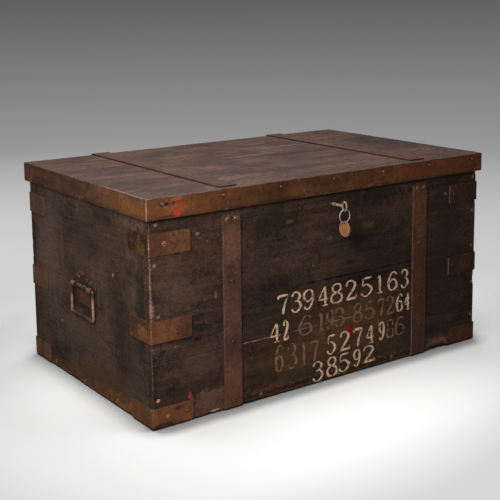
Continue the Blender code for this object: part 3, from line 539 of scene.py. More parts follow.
@dataclass(frozen=True)
class BlackenedPine:
    """Pine boards brushed outside with a black-brown coat a century ago, rubbed and knocked since, and bare inside.

    The eye sees a dark brown coat in soft light and dark clouds, with blurred smears and a few streaks along the grain,
    greyish bloom, short cracks, scratches, and pale wood where an edge is chipped. Inside it sees dusty yellow-brown
    wood with darker growth rings.

    Attributes:
        name: The material's name.
        grain: Which way the grain runs.
        coat, thin, warm, dark: The coat's colour, and its colour where it is thin, warm or thick.
        bloom: What damp has left in runs.
        scuffed, nicked, scarred: Wood that is rubbed, nicked or broken open.
        bare: The uncoated wood inside: most of it, its light streaks and its rings.
        marks: The stains, worn places, painted shade and painted highlights that have a place of their own.
        paint, paint_share: Paint brushed over the coat, and the share of it that is left.
        streaks, runs, dust: How strongly the streaks, the runs and the dust show.
        sheen: The coat's specular level.
        roughness: Its roughness.
    """

    name: str
    grain: Grain
    coat: str = "#37261c"
    thin: str = "#4d362a"
    warm: str = "#543520"
    dark: str = "#190f09"
    bloom: str = "#594840"
    scuffed: str = "#6b4f3f"
    nicked: str = "#9c8270"
    scarred: str = "#7f6450"
    bare: tuple[str, str, str] = ("#7a5f45", "#957653", "#523c29")
    marks: tuple[Mark, ...] = ()
    paint: str | None = None
    paint_share: float = 0.0
    streaks: float = 0.42
    runs: float = 0.3
    dust: float = 0.3
    sheen: float = 0.25
    roughness: float = 0.6

    def build(self) -> bpy.types.Material:
        """Builds the material.

        Returns:
            The material, ready for the pieces that show it.
        """
        s = Surface(self.name)
        grain = self.grain
        # The brush left clouds 100 to 170 mm across in the coat, darker ones of 50 to 120 mm, and smears 30 mm high.
        clouds = s.patches(0.17, share=0.5, soft=0.20, stretch=grain.finer(0.12), start=1.0)
        shadows = s.patches(0.12, share=0.42, soft=0.14, stretch=grain.finer(0.16), start=2.3, detail=7.0)
        smears = s.patches(0.16, share=0.40, soft=0.12, stretch=grain.finer(0.4), start=3.0)
        # Water ran down it in bands 24 mm wide.
        runs = s.patches(0.22, share=0.42, soft=0.16, stretch=(9, 9, 1), start=7.4)
        # Pine's growth rings lie 2 to 5 mm apart on the face. A picture dot is 2.3 mm, so they are drawn 6 to 12 mm
        # apart.
        rings = s.patches(0.36, share=0.30, soft=0.09, stretch=grain.finer(2.4), start=5.5)
        fine = s.patches(0.22, share=0.36, soft=0.10, stretch=grain.finer(2.4), start=8.0)
        zones = s.patches(0.11, share=0.45, soft=0.10, start=6.6)
        # Dust, soot and nicks are under 2 mm across. They are drawn 6 to 8 mm apart so that they show.
        specks = s.patches(0.006, share=0.32, soft=0.10, start=4.0, detail=2.0)
        soot = s.patches(0.008, share=0.34, soft=0.12, start=12.0, detail=3.0)
        nicks = s.patches(0.008, share=0.05, soft=0.02, start=9.0, detail=3.0)
        grime = s.patches(0.020, share=0.16, soft=0.07, start=6.0)
        # Cracks are under half a millimetre wide. They are drawn about 1 mm wide so that they show.
        cracks = s.lines(0.30, width=0.004, stretch=grain.finer(0.5), turn=(0, 0, 0), start=0.37)
        scratches = s.lines(0.12, width=0.004, stretch=(0.4, 8, 8), turn=(0, 24, 7), start=0.7)
        gouges = s.lines(0.05, width=0.008, stretch=(1, 5, 5), turn=(20, -35, 15), start=0.2)
        chipped = add_node(s.tree, "ShaderNodeAttribute", attribute_name="bared").outputs["Fac"]
        chipped = s.both(chipped, s.patches(0.008, share=0.42, soft=0.10, start=2.2))
        colour = s.coats(
            linear(self.coat),
            [
                (s.both(clouds, clouds, 0.75), linear(self.thin)),
                (s.both(smears, clouds, 0.70), linear(self.warm)),
                (s.both(shadows, shadows, 0.75), linear(self.dark)),
                (s.both(runs, clouds, self.runs), linear(self.bloom)),
                (s.both(rings, zones, self.streaks), linear(self.dark)),
                (s.both(fine, zones, self.streaks * 0.7), linear(self.scuffed)),
                (s.both(specks, clouds, self.dust * 1.4), linear(self.scuffed)),
                (s.both(soot, soot, 0.35), linear(self.dark)),
                (s.both(grime, grime, 0.60), linear(self.dark)),
                (s.both(cracks, zones, 0.75), linear("#0d0704")),
                (s.both(scratches, smears, 0.50), linear(self.scuffed)),
                (s.both(gouges, grime, 0.70), linear(self.dark)),
                (s.both(nicks, smears, 0.75), linear(self.nicked)),
                *s.placed_marks(self.marks),
                (s.both(chipped, chipped, 0.85), linear(self.scarred)),
            ],
        )
        if self.paint:
            # The film is worn through to the same coat that the board shows round it.
            left = s.both(s.brushed("stroke_body"), s.patches(0.009, share=self.paint_share, soft=0.10, start=7.0))
            colour = s.coats(colour, [(left, linear(self.paint))])
        base, light, deep = (linear(c) for c in self.bare)
        wood = s.coats(
            base,
            [
                (s.both(smears, smears, 0.6), light),
                (s.both(rings, rings, 0.7), deep),
                (s.both(grime, shadows, 0.6), deep),
            ],
        )
        colour = s.coats(colour, [(s.inside(*INSIDE), wood)])
        roughness = s.coats(self.roughness, [(clouds, self.roughness + 0.08), (specks, 0.75), (grime, 0.8)])
        normal = s.relief(
            [
                (smears, 0.0004),
                (fine, 0.0002),
                (rings, -0.0003),
                (cracks, -0.0005),
                (scratches, -0.0003),
                (gouges, -0.0004),
                (specks, 0.0001),
            ]
        )
        return s.close(colour, roughness, normal, Specular_IOR_Level=self.sheen)


@dataclass(frozen=True)
class RustedIron:
    """Rolled mild-steel strip, once japanned brown, rusted under the coat and rubbed on its edges.

    The eye sees a smooth warm brown skin with darker and more orange clouds, pitting, grime and painted shade round the
    nail heads, pale painted specks of highlight, and pale rubbed edges.

    Attributes:
        name: The material's name.
        skin, rust, dark, rubbed: The colours of the skin, the rust clouds, the pits and the rubbed edges.
        rust_share: The part of the surface that the rust clouds cover.
        along: How many times narrower the clouds are along each axis.
        marks: The stains, worn places, painted shade and painted highlights that have a place of their own.
        metal: How metallic the skin is between the rust clouds.
        gloss: Its specular level.
        grit: How strongly the grit and the painted highlight specks show.
        grime_and_shade: What darkens the hollows: grime, with painted shade.
    """

    name: str
    skin: str = "#4a2d1f"
    rust: str = "#7a452b"
    dark: str = "#2a1a13"
    rubbed: str = "#a87d62"
    rust_share: float = 0.45
    along: Triple = (1, 1, 1)
    marks: tuple[Mark, ...] = ()
    metal: float = 0.1
    gloss: float = 0.3
    grit: float = 0.3
    grime_and_shade: str = "#150f0c"

    def build(self) -> bpy.types.Material:
        """Builds the material.

        Returns:
            The material, ready for the pieces that show it.
        """
        s = Surface(self.name)
        # Rust spreads in clouds of about 100 mm, flakes off in scales of 14 mm and stains patches of 45 mm.
        narrower = tuple(a * 1.8 if a > 1 else 1 for a in self.along)
        clouds = s.patches(0.10, share=self.rust_share, soft=0.16, stretch=self.along, start=2.0)
        streaks = s.patches(0.12, share=0.45, soft=0.16, stretch=narrower, start=7.0)
        flakes = s.patches(0.014, share=0.35, soft=0.08, start=6.0)
        stains = s.patches(0.045, share=0.30, soft=0.12, start=9.0)
        # Pits, grit and the painted highlight specks between them are under 1 mm. They are drawn 6 to 7 mm apart so
        # that they show.
        pits = s.patches(0.006, share=0.20, soft=0.06, start=4.0, detail=2.0)
        grit = s.patches(0.006, share=0.42, soft=0.14, start=11.0, detail=3.0)
        painted_glints = s.patches(0.007, share=0.32, soft=0.12, start=13.0, detail=3.0)
        # An edge is rubbed 1.6 mm wide in stretches of 20 mm. Grime and painted shade darken the 7 mm round a nail head
        # and the other hollows.
        worn = s.both(s.rubbed_edges(0.0016), s.patches(0.02, share=0.65, soft=0.10, start=1.0))
        grime = s.hollows_grime_and_shade(0.007)
        colour = s.coats(
            linear(self.skin),
            [
                (s.both(clouds, clouds, 0.8), linear(self.rust)),
                (s.both(streaks, stains, 0.55), linear(self.dark)),
                (s.both(stains, flakes, 0.45), linear(self.rust)),
                (s.both(pits, flakes, 0.6), linear(self.dark)),
                *s.placed_marks(self.marks),
                (s.both(grit, grit, self.grit), linear(self.dark)),
                (s.both(painted_glints, stains, self.grit), linear(self.rubbed)),
                (s.both(worn, worn, 0.75), linear(self.rubbed)),
                # Grime in the hollows, with their painted shade.
                (s.both(grime, grime, 0.8), linear(self.grime_and_shade)),
            ],
        )
        roughness = s.coats(0.52, [(clouds, 0.60), (pits, 0.72), (worn, 0.42), (grime, 0.9)])
        metallic = s.coats(self.metal, [(clouds, 0.0), (worn, 0.5), (grime, 0.0)])
        normal = s.relief([(flakes, 0.0002), (pits, -0.0002), (clouds, 0.0004), (streaks, 0.0002)])
        return s.close(colour, roughness, normal, Metallic=metallic, Specular_IOR_Level=self.gloss)


@dataclass(frozen=True)
class HandledMetal(RustedIron):
    """Small forged, drawn and stamped pieces that hands keep bare: a steel key, a nickelled ring and a copper tag.

    The eye sees a pale metal in even light, with soft brown tarnish in patches and brighter edges.
    """


# ------------------------------------------------------------------------------------------------------------ studio


@dataclass(frozen=True)
class PhotoCamera:
    """The camera, where the corners of the lid and the base say that the photograph was taken from.

    Attributes:
        place: Where it stands, in metres.
        azimuth, elevation, roll: Which way it looks from, in degrees.
        focal_dots: Its focal length in picture dots.
        axis_row: The picture row that its axis meets, from the top.
        picture: The picture's width and height in dots.
    """

    place: Triple = (-1.3751, -1.8863, 0.8320)
    azimuth: float = -35.397
    elevation: float = 9.122
    roll: float = -0.632
    focal_dots: float = 1017.8
    axis_row: float = 160.0
    picture: float = 500.0

    def build(self) -> None:
        """Makes the camera and gives it to the scene."""
        a, e, r = (math.radians(t) for t in (self.azimuth, self.elevation, self.roll))
        back = Vector((math.sin(a) * math.cos(e), -math.cos(a) * math.cos(e), math.sin(e)))
        right = (-back).cross(Vector((0, 0, 1))).normalized()
        up = right.cross(-back)
        level = (right * math.cos(r) + up * math.sin(r), up * math.cos(r) - right * math.sin(r), back)
        data = bpy.data.cameras.new("photo_camera")
        data.lens = self.focal_dots / self.picture * data.sensor_width
        data.shift_y = (self.axis_row - self.picture / 2) / self.picture
        camera = bpy.data.objects.new("photo_camera", data)
        bpy.context.scene.collection.objects.link(camera)
        matrix = camera.matrix_world.to_3x3()
        for column, axis in enumerate(level):
            for row in range(3):
                matrix[row][column] = axis[row]
        camera.matrix_world = matrix.to_4x4()
        camera.location = self.place
        bpy.context.scene.camera = camera


COVE = "studio_cove"


class Reach(Enum):
    """What a studio light falls on, as how it is linked to the cove."""

    TRUNK = "EXCLUDE"
    COVE = "INCLUDE"


@dataclass(frozen=True)
class Softbox:
    """One soft studio light. It lights the trunk or the cove, so that each is as bright as in the photograph.

    Attributes:
        name: Its name.
        place: Where it hangs, in metres.
        aim: The point that it is aimed at.
        size: Its width and height in metres.
        power: Its power in watts.
        reach: What it falls on.
    """

    name: str
    place: Triple
    aim: Triple
    size: tuple[float, float]
    power: float
    reach: Reach = Reach.TRUNK

    def build(self) -> None:
        """Makes the light and links it to what it lights."""
        data = bpy.data.lights.new(self.name, "AREA")
        data.shape = "RECTANGLE"
        data.size, data.size_y = self.size
        data.energy = self.power
        light = bpy.data.objects.new(self.name, data)
        light.location = self.place
        light.rotation_mode = "QUATERNION"
        light.rotation_quaternion = (Vector(self.aim) - Vector(self.place)).to_track_quat("-Z", "Y")
        light.visible_camera = False
        bpy.context.scene.collection.objects.link(light)
        lit = bpy.data.collections.new(f"lit_by_{self.name}")
        lit.objects.link(bpy.data.objects[COVE])
        lit.collection_objects[0].light_linking.link_state = self.reach.value
        light.light_linking.receiver_collection = lit


@dataclass(frozen=True)
class Studio:
    """A round cove of pale seamless paper, so that every side of the trunk has the same plain ground and backdrop.

    Attributes:
        flat: The radius of the flat floor in metres.
        curve: The radius of the bend from the floor to the wall.
        wall: The wall's height above the bend.
        steps, sides: How many steps the bend takes, and how many sides the cove has.
        near, dim, far, high: The paper's greys, which paint a pool of light round the trunk and its fall-off: by the
            trunk, round that, farther off, and up the wall.
        air: The strength of the light that comes from all round.
        lights: The studio's lights.
    """

    flat: float = 3.4
    curve: float = 2.2
    wall: float = 2.6
    steps: int = 16
    sides: int = 96
    near: str = "#e6e6e6"
    dim: str = "#ababab"
    far: str = "#d7d7d7"
    high: str = "#9c9c9c"
    air: float = 0.12
    lights: tuple[Softbox, ...] = (
        Softbox("key_light", (-1.2, -0.88, 0.95), (-0.35, -0.2, 0.3), (0.55, 0.55), 20.0),
        Softbox("top_light", (0.0, 0.5, 2.6), (0.0, 0.0, 0.3), (2.6, 2.2), 82.0),
        # It stands lower than the lid, so it casts no gloss on it.
        Softbox("back_light", (1.5, 1.4, 0.22), (0.2, 0.1, 0.22), (1.6, 0.4), 22.0),
        Softbox("ground_light", (-0.12, -0.1, 2.8), (-0.12, -0.1, 0.0), (2.6, 2.6), 165.0, Reach.COVE),
    )

    def build(self) -> None:
        """Makes the cove, its paper, the lights and the air."""
        self.cove()
        for light in self.lights:
            light.build()
        world = bpy.data.worlds.new("studio_air")
        world.use_nodes = True
        world.node_tree.nodes["Background"].inputs["Color"].default_value = linear("#ffffff")
        world.node_tree.nodes["Background"].inputs["Strength"].default_value = self.air
        bpy.context.scene.world = world
        # The photograph is plain display colour with deep blacks, and the Standard view keeps both.
        bpy.context.scene.view_settings.view_transform = "Standard"

    def cove(self) -> None:
        """Makes the floor, which curves up into a wall all round."""
        profile = [(self.flat * share, 0.0) for share in (0.15, 0.4, 0.7, 1.0)]
        for step in range(1, self.steps + 1):
            turn = math.pi / 2 * step / self.steps
            profile.append((self.flat + self.curve * math.sin(turn), self.curve * (1 - math.cos(turn))))
        profile.append((self.flat + self.curve, self.curve + self.wall))
        mesh = bmesh.new()
        turns = [2 * math.pi * k / self.sides for k in range(self.sides)]
        rings = [[mesh.verts.new((r * math.cos(t), r * math.sin(t), z)) for t in turns] for r, z in profile]
        mesh.faces.new(rings[0])
        for inner, outer in zip(rings, rings[1:]):
            for k in range(self.sides):
                n = (k + 1) % self.sides
                mesh.faces.new((inner[k], outer[k], outer[n], inner[n])).smooth = True
        data = bpy.data.meshes.new(COVE)
        mesh.to_mesh(data)
        mesh.free()
        cove = bpy.data.objects.new(COVE, data)
        bpy.context.scene.collection.objects.link(cove)
        cove.data.materials.append(self.paper())
        # The photograph's pale ground throws no light back on the trunk, so the cove doesn't either.
        cove.visible_diffuse = False
        cove.visible_glossy = False

    def paper(self) -> bpy.types.Material:
        """Builds the seamless paper: matt, with a painted pool of light round the trunk, greyer farther off and up the
        wall, and painted shade close under it.

        Returns:
            The paper's material.
        """
        s = Surface("matt_seamless_paper")
        # The painted pool of light is an ellipse 1.4 times as long as it is wide, turned by 50 degrees under the trunk.
        turned = add_node(s.tree, "ShaderNodeMapping", {"Vector": s.place, "Rotation": (0.0, 0.0, math.radians(50))})
        off = add_node(
            s.tree,
            "ShaderNodeVectorMath",
            {0: turned.outputs[0], 1: (1.4, 1.0, 1.0), 2: (0.028, -0.04, 0.0)},
            operation="MULTIPLY_ADD",
        )
        away = add_node(s.tree, "ShaderNodeVectorMath", {0: off.outputs[0]}, operation="LENGTH").outputs["Value"]
        sides = add_node(s.tree, "ShaderNodeSeparateXYZ", {0: s.place}).outputs
        # Each fade: what it goes by, where it starts and where it is complete, in metres, and its grey. Together they
        # paint the light's fall-off.
        steps = (
            (away, 0.45, 0.94, self.dim),
            (away, 1.15, 3.4, self.far),
            (sides["Z"], 0.0, 0.9, self.high),
        )
        fades = [
            (add_node(s.tree, "ShaderNodeMapRange", {"Value": v, "From Min": a, "From Max": b}).outputs[0], linear(c))
            for v, a, b, c in steps
        ]
        # A painted pool of light brightens the paper beside the trunk's left end.
        painted_light_pool = s.placed_marks((Blot((-449, 0, 0), (240, 500, 60), "#ffffff", 0.95, 0.0, 1.0),))
        # The shade close under the trunk is deeper in front of it.
        contact = s.hollows_grime_and_shade(0.05, 0.6)
        before = add_node(
            s.tree, "ShaderNodeMapRange", {"Value": sides["Y"], "From Min": -0.22, "From Max": -0.27}
        ).outputs[0]
        shade = linear("#141414")
        shades = [(s.both(contact, contact, 0.6), shade), (s.both(contact, before, 0.75), shade)]
        colour = s.coats(linear(self.near), [*fades, *painted_light_pool, *shades])
        return s.close(colour, 0.95, s.relief([(s.patches(0.01, share=0.5, soft=0.3), 0.00005)]))


# ------------------------------------------------------------------------------------------------------------- trunk


def ride_mesh(mesh: bmesh.types.BMesh, name: str, finish: bpy.types.Material, body: str) -> bpy.types.Object:
    """Ends a piece's mesh and hands it to the body that carries it.

    Args:
        mesh: The piece's mesh, in the part's frame. It is used up.
        name: The piece's name.
        finish: Its material.
        body: The CAD body that it rides on.

    Returns:
        The piece.
    """
    data = bpy.data.meshes.new(name)
    mesh.to_mesh(data)
    mesh.free()
    data.materials.append(finish)
    piece = bpy.data.objects.new(name, data)
    bpy.context.scene.collection.objects.link(piece)
    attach(piece, body)
    LOG.info("%s: %d faces on %s", name, len(data.polygons), body)
    return piece


def dress(finish: bpy.types.Material, *patterns: str) -> None:
    """Puts a finish on the CAD nodes whose names fit.

    Args:
        finish: The material.
        patterns: What the names look like, with * for any letters.
    """
    for name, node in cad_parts.items():
        if any(fnmatchcase(name, pattern) for pattern in patterns):
            node.data.materials.clear()
            node.data.materials.append(finish)
            LOG.info("%s: %s", name, finish.name)


@dataclass(frozen=True)
class WornBoard:
    """A wall board whose outer edges have been knocked about, in place of the CAD model's straight-edged one.

    Attributes:
        node: The CAD node that it replaces.
        finish: Its material.
        out: The axis that its outer face looks along, and which way.
        foot, head, ends: The deepest bite in millimetres out of its lower, upper and upright outer edges.
        gone: Longer stretches that are gone from the lower edge: middle, half length and depth in millimetres.
        calm: The stretch of the lower edge that keeps its bites small, in millimetres.
        calm_bite: The deepest bite there.
        cell: How far apart the cuts lie along an edge, in metres.
        rim: How far the worn strip reaches from an edge, in metres.
        cuts: How far from an edge the cuts beside it lie, in metres.
        swells, splinters: How many long hollows and how many short ones an edge has in a metre.
    """

    node: str
    finish: bpy.types.Material
    out: tuple[int, int]
    foot: float = 1.5
    head: float = 1.2
    ends: float = 1.2
    gone: tuple[Triple, ...] = ()
    calm: tuple[float, float] = (0.0, 0.0)
    calm_bite: float = 1.5
    cell: float = 0.006
    rim: float = 0.018
    cuts: Triple = (0.003, 0.007, 0.012)
    swells: float = 22.0
    splinters: float = 95.0

    def build(self) -> None:
        """Copies the board, cuts its borders finely, and knocks chips out of them."""
        low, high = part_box(self.node)
        mesh = bmesh.new()
        mesh.from_mesh(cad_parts[self.node].data)
        bmesh.ops.remove_doubles(mesh, verts=mesh.verts, dist=1e-5)
        bmesh.ops.dissolve_limit(mesh, angle_limit=0.01, verts=mesh.verts, edges=mesh.edges)
        along = 1 - self.out[0]
        for axis, other in ((2, along), (along, 2)):
            for edge, way in ((low[axis], 1), (high[axis], -1)):
                border = edge + way * self.rim
                self.cut(mesh, [*mesh.verts, *mesh.edges, *mesh.faces], axis, [border])
                near = (edge - 0.001, border) if way > 0 else (border, edge + 0.001)
                faces = [f for f in mesh.faces if near[0] < f.calc_center_bounds()[axis] < near[1]]
                strip = {*faces, *(e for f in faces for e in f.edges), *(v for f in faces for v in f.verts)}
                strip = self.cut(mesh, list(strip), axis, [edge + way * step for step in self.cuts])
                size = high[other] - low[other]
                steps = int(size / self.cell)
                self.cut(mesh, strip, other, [low[other] + size * k / steps for k in range(1, steps)])
        face = high[self.out[0]] if self.out[1] > 0 else low[self.out[0]]
        levels = [face - self.out[1] * step for step in self.cuts]
        self.cut(mesh, [*mesh.verts, *mesh.edges, *mesh.faces], self.out[0], levels)
        self.chip(mesh, low, high)
        piece = ride_mesh(mesh, f"worn_{self.node}", self.finish, "carcass")
        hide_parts(self.node)

    def cut(self, mesh: bmesh.types.BMesh, geometry: list, axis: int, levels: list[float]) -> list:
        """Cuts a part of the mesh across at some levels.

        Args:
            mesh: The board's mesh.
            geometry: The part's vertices, edges and faces.
            axis: The axis that the cuts are square to.
            levels: Where on it.

        Returns:
            The part's geometry, with what the cuts added.
        """
        for level in levels:
            place, square = Vector((0, 0, 0)), Vector((0, 0, 0))
            place[axis], square[axis] = level, 1.0
            cut = bmesh.ops.bisect_plane(mesh, geom=geometry, dist=1e-6, plane_co=place, plane_no=square)
            geometry = cut["geom"]
        return geometry

    def chip(self, mesh: bmesh.types.BMesh, low: Vector, high: Vector) -> None:
        """Moves what lies nearer to an outer edge than the bite there, and marks how much wood it bares.

        Args:
            mesh: The board's mesh.
            low: The board's lowest corner.
            high: Its highest corner.
        """
        bared = mesh.verts.layers.float.new("bared")
        axis, way = self.out
        along = 1 - axis
        face = high[axis] if way > 0 else low[axis]
        borders = (
            (2, low[2], 1, self.foot, along),
            (2, high[2], -1, self.head, along),
            (along, low[along], 1, self.ends, 2),
            (along, high[along], -1, self.ends, 2),
        )
        for vert in mesh.verts:
            for border, (cross, edge, inward, deepest, run) in enumerate(borders):
                depth = (face - vert.co[axis]) * way
                off = (vert.co[cross] - edge) * inward
                bite = self.bite(vert.co[run], border, deepest)
                short = bite - depth - off
                if short <= 0:
                    continue
                vert.co[axis] -= way * short / 2
                vert.co[cross] += inward * short / 2
                # A bite of 0.4 mm keeps its coat, and one of 1.6 mm is bare wood.
                vert[bared] = max(vert[bared], min(1.0, (short * 1000 - 0.4) / 1.2))

    def bite(self, run: float, border: int, deepest: float) -> float:
        """Says how deep the bite is at a place along an edge.

        Args:
            run: The place along the edge in metres.
            border: Which of the four edges.
            deepest: Its deepest bite in millimetres.

        Returns:
            The bite in metres.
        """
        # Each edge of each board wears in its own way.
        seed = sum(map(ord, self.node)) % 97 + border * 13.7
        if border == 0 and self.calm[0] < run * 1000 < self.calm[1]:
            deepest = min(deepest, self.calm_bite)
        slow = noise.noise(Vector((run * self.swells, seed, 0.3)))
        quick = noise.noise(Vector((run * self.splinters, seed, 7.1)))
        # Half a millimetre is rubbed off everywhere, and more where a hollow is.
        depth = 0.5 + 0.35 * quick + deepest * max(0.0, slow * 1.6 - 0.12 + quick * 0.5)
        if border == 0:
            for middle, half, gone in self.gone:
                share = 1 - ((run * 1000 - middle) / half) ** 2
                if share > 0:
                    depth = max(depth, gone * math.sqrt(share) * (0.85 + 0.4 * quick))
        return max(0.0, depth) / 1000


@dataclass(frozen=True)
class WallNails:
    """The cut nails that hold the boards to each other, with flat round heads worn paler than the boards.

    Attributes:
        finish: Their material.
        radius: A head's radius in metres.
        rise: How far a head stands out of the board, in metres.
        sides: How many sides a head is drawn with.
        front: Each nail's place on the front and the back in millimetres: along the wall, then up from the ground.
        end: The same on both ends.
    """

    finish: bpy.types.Material
    radius: float = 0.0044
    rise: float = 0.0011
    sides: int = 12
    front: tuple[tuple[float, float], ...] = (
        (-433, 407), (-438, 328), (-432, 226), (-437, 58), (-339, 377), (-190, 12), (20, 10), (180, 13),
        (438, 404), (439, 322), (438, 236), (441, 145), (439, 64), (346, 373),
    )  # fmt: skip
    end: tuple[tuple[float, float], ...] = (
        (-100, 12), (45, 11), (190, 13), (-101, 280), (150, 120),
    )  # fmt: skip

    def build(self) -> None:
        """Makes the nails of each wall as one piece."""
        low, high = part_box("front_lower_board")
        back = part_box("back_lower_board")[1].y
        # Each wall: its nails' places, where its face stands, which way the places run along it, and which way is out.
        walls = {
            "front_wall_nails": (self.front, (0, low.y, 0), (1, 0, 0), (0, -1, 0)),
            "back_wall_nails": (self.front, (0, back, 0), (-1, 0, 0), (0, 1, 0)),
            "left_wall_nails": (self.end, (low.x, 0, 0), (0, 1, 0), (-1, 0, 0)),
            "right_wall_nails": (self.end, (high.x, 0, 0), (0, 1, 0), (1, 0, 0)),
        }
        for name, (places, wall, along, out) in walls.items():
            mesh = bmesh.new()
            for run, up in places:
                place = (Vector(along) * run + Vector((0, 0, up))) / 1000 + Vector(wall)
                self.head(mesh, place, Vector(out))
            ride_mesh(mesh, name, self.finish, "carcass")

    def head(self, mesh: bmesh.types.BMesh, place: Vector, out: Vector) -> None:
        """Adds one closed nail head, slightly dished in the middle by the hammer.

        Args:
            mesh: The mesh that gets it.
            place: Where its middle meets the board.
            out: The way out of the board.
        """
        across = out.cross(Vector((0, 0, 1)))
        up = across.cross(out)
        # From the board out: the share of the radius, and the share of the rise.
        profile = ((1.0, -0.3), (1.0, 0.35), (0.86, 0.9), (0.6, 1.0), (0.3, 0.78))
        rings = []
        for share, height in profile:
            middle = place + out * (self.rise * height)
            ring = []
            for k in range(self.sides):
                turn = 2 * math.pi * k / self.sides
                # Hand-cut heads aren't quite round.
                reach = self.radius * share * (1 + 0.08 * math.sin(turn * 2 + place.x * 90 + place.z * 70))
                ring.append(mesh.verts.new(middle + (across * math.cos(turn) + up * math.sin(turn)) * reach))
            rings.append(ring)
        join_rings(mesh, rings)
        mesh.faces.new(rings[-1])
        mesh.faces.new(rings[0][::-1])


@dataclass(frozen=True)
class HandleBarrels:
    """The plate's rolled barrel between the two ears of each handle, dented by the bail.

    Attributes:
        finish: Its material.
        middle: The barrel's middle on one end: out from the trunk's middle, along the end, and up, in metres.
        half: Half its length in metres.
        radius: Its radius in metres.
        sides: How many sides it is drawn with.
        steps: How many rings long it is.
    """

    finish: bpy.types.Material
    middle: Triple = (0.4545, 0.0292, 0.2264)
    half: float = 0.0275
    radius: float = 0.0047
    sides: int = 14
    steps: int = 18

    def build(self) -> None:
        """Makes one barrel on each end."""
        for name, way in (("left_handle_barrel", -1), ("right_handle_barrel", 1)):
            mesh = bmesh.new()
            out, along, up = self.middle
            turns = [2 * math.pi * k / self.sides for k in range(self.sides)]
            rings = []
            for step in range(self.steps + 1):
                share = 2 * step / self.steps - 1
                # It is dented by up to a tenth, and its two ends are rolled in.
                dent = noise.noise(Vector((share * 4, way, 0.5))) * 0.10 - (0.25 if abs(share) > 0.99 else 0)
                reach = self.radius * (1 + dent)
                places = [(way * (out + reach * math.cos(t)), up + reach * math.sin(t)) for t in turns]
                rings.append([mesh.verts.new((x, along + self.half * share, z)) for x, z in places])
            join_rings(mesh, rings)
            mesh.faces.new(rings[0])
            mesh.faces.new(rings[-1][::-1])
            bmesh.ops.recalc_face_normals(mesh, faces=mesh.faces)
            ride_mesh(mesh, name, self.finish, "carcass")


# A digit is a list of brush strokes. Each stroke's points are across, up and how hard the brush presses, from 0 to 1.
Stroke = tuple[Triple, ...]
BRUSHED_DIGITS: dict[str, tuple[Stroke, ...]] = {
    "1": (
        ((0.22, 0.80, 0.4), (0.5, 1, 0.7)),
        ((0.5, 1, 1), (0.5, 0, 1)),
        ((0.15, 0.02, 0.5), (0.85, 0.02, 0.5)),
    ),
    "2": (
        ((0.08, 0.74, 0.9), (0.2, 0.95, 0.5), (0.52, 1, 0.5), (0.85, 0.78, 1), (0.62, 0.45, 0.9), (0.08, 0.05, 0.5)),
        ((0.06, 0.04, 0.8), (0.7, 0.04, 0.8), (0.92, 0.04, 0.6), (0.96, 0.22, 0.4)),
    ),
    "3": (
        ((0.1, 0.8, 0.8), (0.3, 0.98, 0.5), (0.62, 0.98, 0.5), (0.84, 0.77, 1), (0.62, 0.57, 0.5), (0.36, 0.54, 0.4)),
        ((0.36, 0.54, 0.4), (0.7, 0.52, 0.5), (0.92, 0.28, 1), (0.62, 0.02, 0.5), (0.3, 0.02, 0.5), (0.06, 0.2, 0.9)),
    ),
    "4": (
        ((0.62, 1, 0.5), (0.05, 0.32, 0.5)),
        ((0.05, 0.32, 0.5), (0.97, 0.32, 0.5)),
        ((0.66, 1, 1), (0.66, 0, 1)),
        ((0.4, 0.01, 0.45), (0.92, 0.01, 0.45)),
    ),
    "5": (
        ((0.2, 0.97, 0.7), (0.9, 0.97, 0.6)),
        ((0.22, 0.97, 0.6), (0.16, 0.55, 0.5)),
        ((0.16, 0.55, 0.4), (0.5, 0.63, 0.5), (0.9, 0.33, 1), (0.55, 0.01, 0.5), (0.25, 0.03, 0.5), (0.05, 0.2, 0.9)),
    ),
    "6": (
        ((0.85, 0.84, 0.8), (0.7, 0.98, 0.5), (0.38, 0.93, 0.6), (0.1, 0.5, 1), (0.2, 0.1, 0.7), (0.5, 0, 0.45)),
        ((0.5, 0, 0.45), (0.86, 0.16, 0.9), (0.82, 0.46, 0.8), (0.5, 0.6, 0.45), (0.16, 0.42, 0.5)),
    ),
    "7": (
        ((0.08, 0.8, 0.5), (0.1, 0.95, 0.8), (0.92, 0.95, 0.8)),
        ((0.92, 0.95, 0.45), (0.62, 0.55, 0.7), (0.42, 0, 1)),
    ),
    "8": (
        (
            *((0.5, 0.54, 0.5), (0.2, 0.66, 0.7), (0.2, 0.9, 0.7), (0.5, 1, 0.45)),
            *((0.8, 0.9, 0.7), (0.8, 0.66, 0.7), (0.5, 0.54, 0.5)),
        ),
        (
            *((0.5, 0.54, 0.5), (0.1, 0.4, 0.7), (0.12, 0.1, 0.9), (0.5, 0, 0.45)),
            *((0.9, 0.1, 0.9), (0.9, 0.4, 0.7), (0.5, 0.54, 0.5)),
        ),
    ),
    "9": (
        ((0.15, 0.16, 0.8), (0.3, 0.02, 0.5), (0.62, 0.07, 0.6), (0.9, 0.5, 1), (0.8, 0.9, 0.7), (0.5, 1, 0.45)),
        ((0.5, 1, 0.45), (0.14, 0.84, 0.9), (0.18, 0.54, 0.8), (0.5, 0.4, 0.45), (0.84, 0.58, 0.5)),
    ),
}


@dataclass(frozen=True)
class NumeralRow:
    """One row of numerals.

    Attributes:
        digits: The digits.
        spans: Where each digit starts and ends along the front, in millimetres.
        foot: How high the row's foot is at its two ends, in millimetres.
        height: How tall the digits are at its two ends, in millimetres.
        faded: Which digits have nearly gone, counted from 0.
    """

    digits: str
    spans: tuple[tuple[float, float], ...]
    foot: tuple[float, float]
    height: tuple[float, float]
    faded: tuple[int, ...] = ()


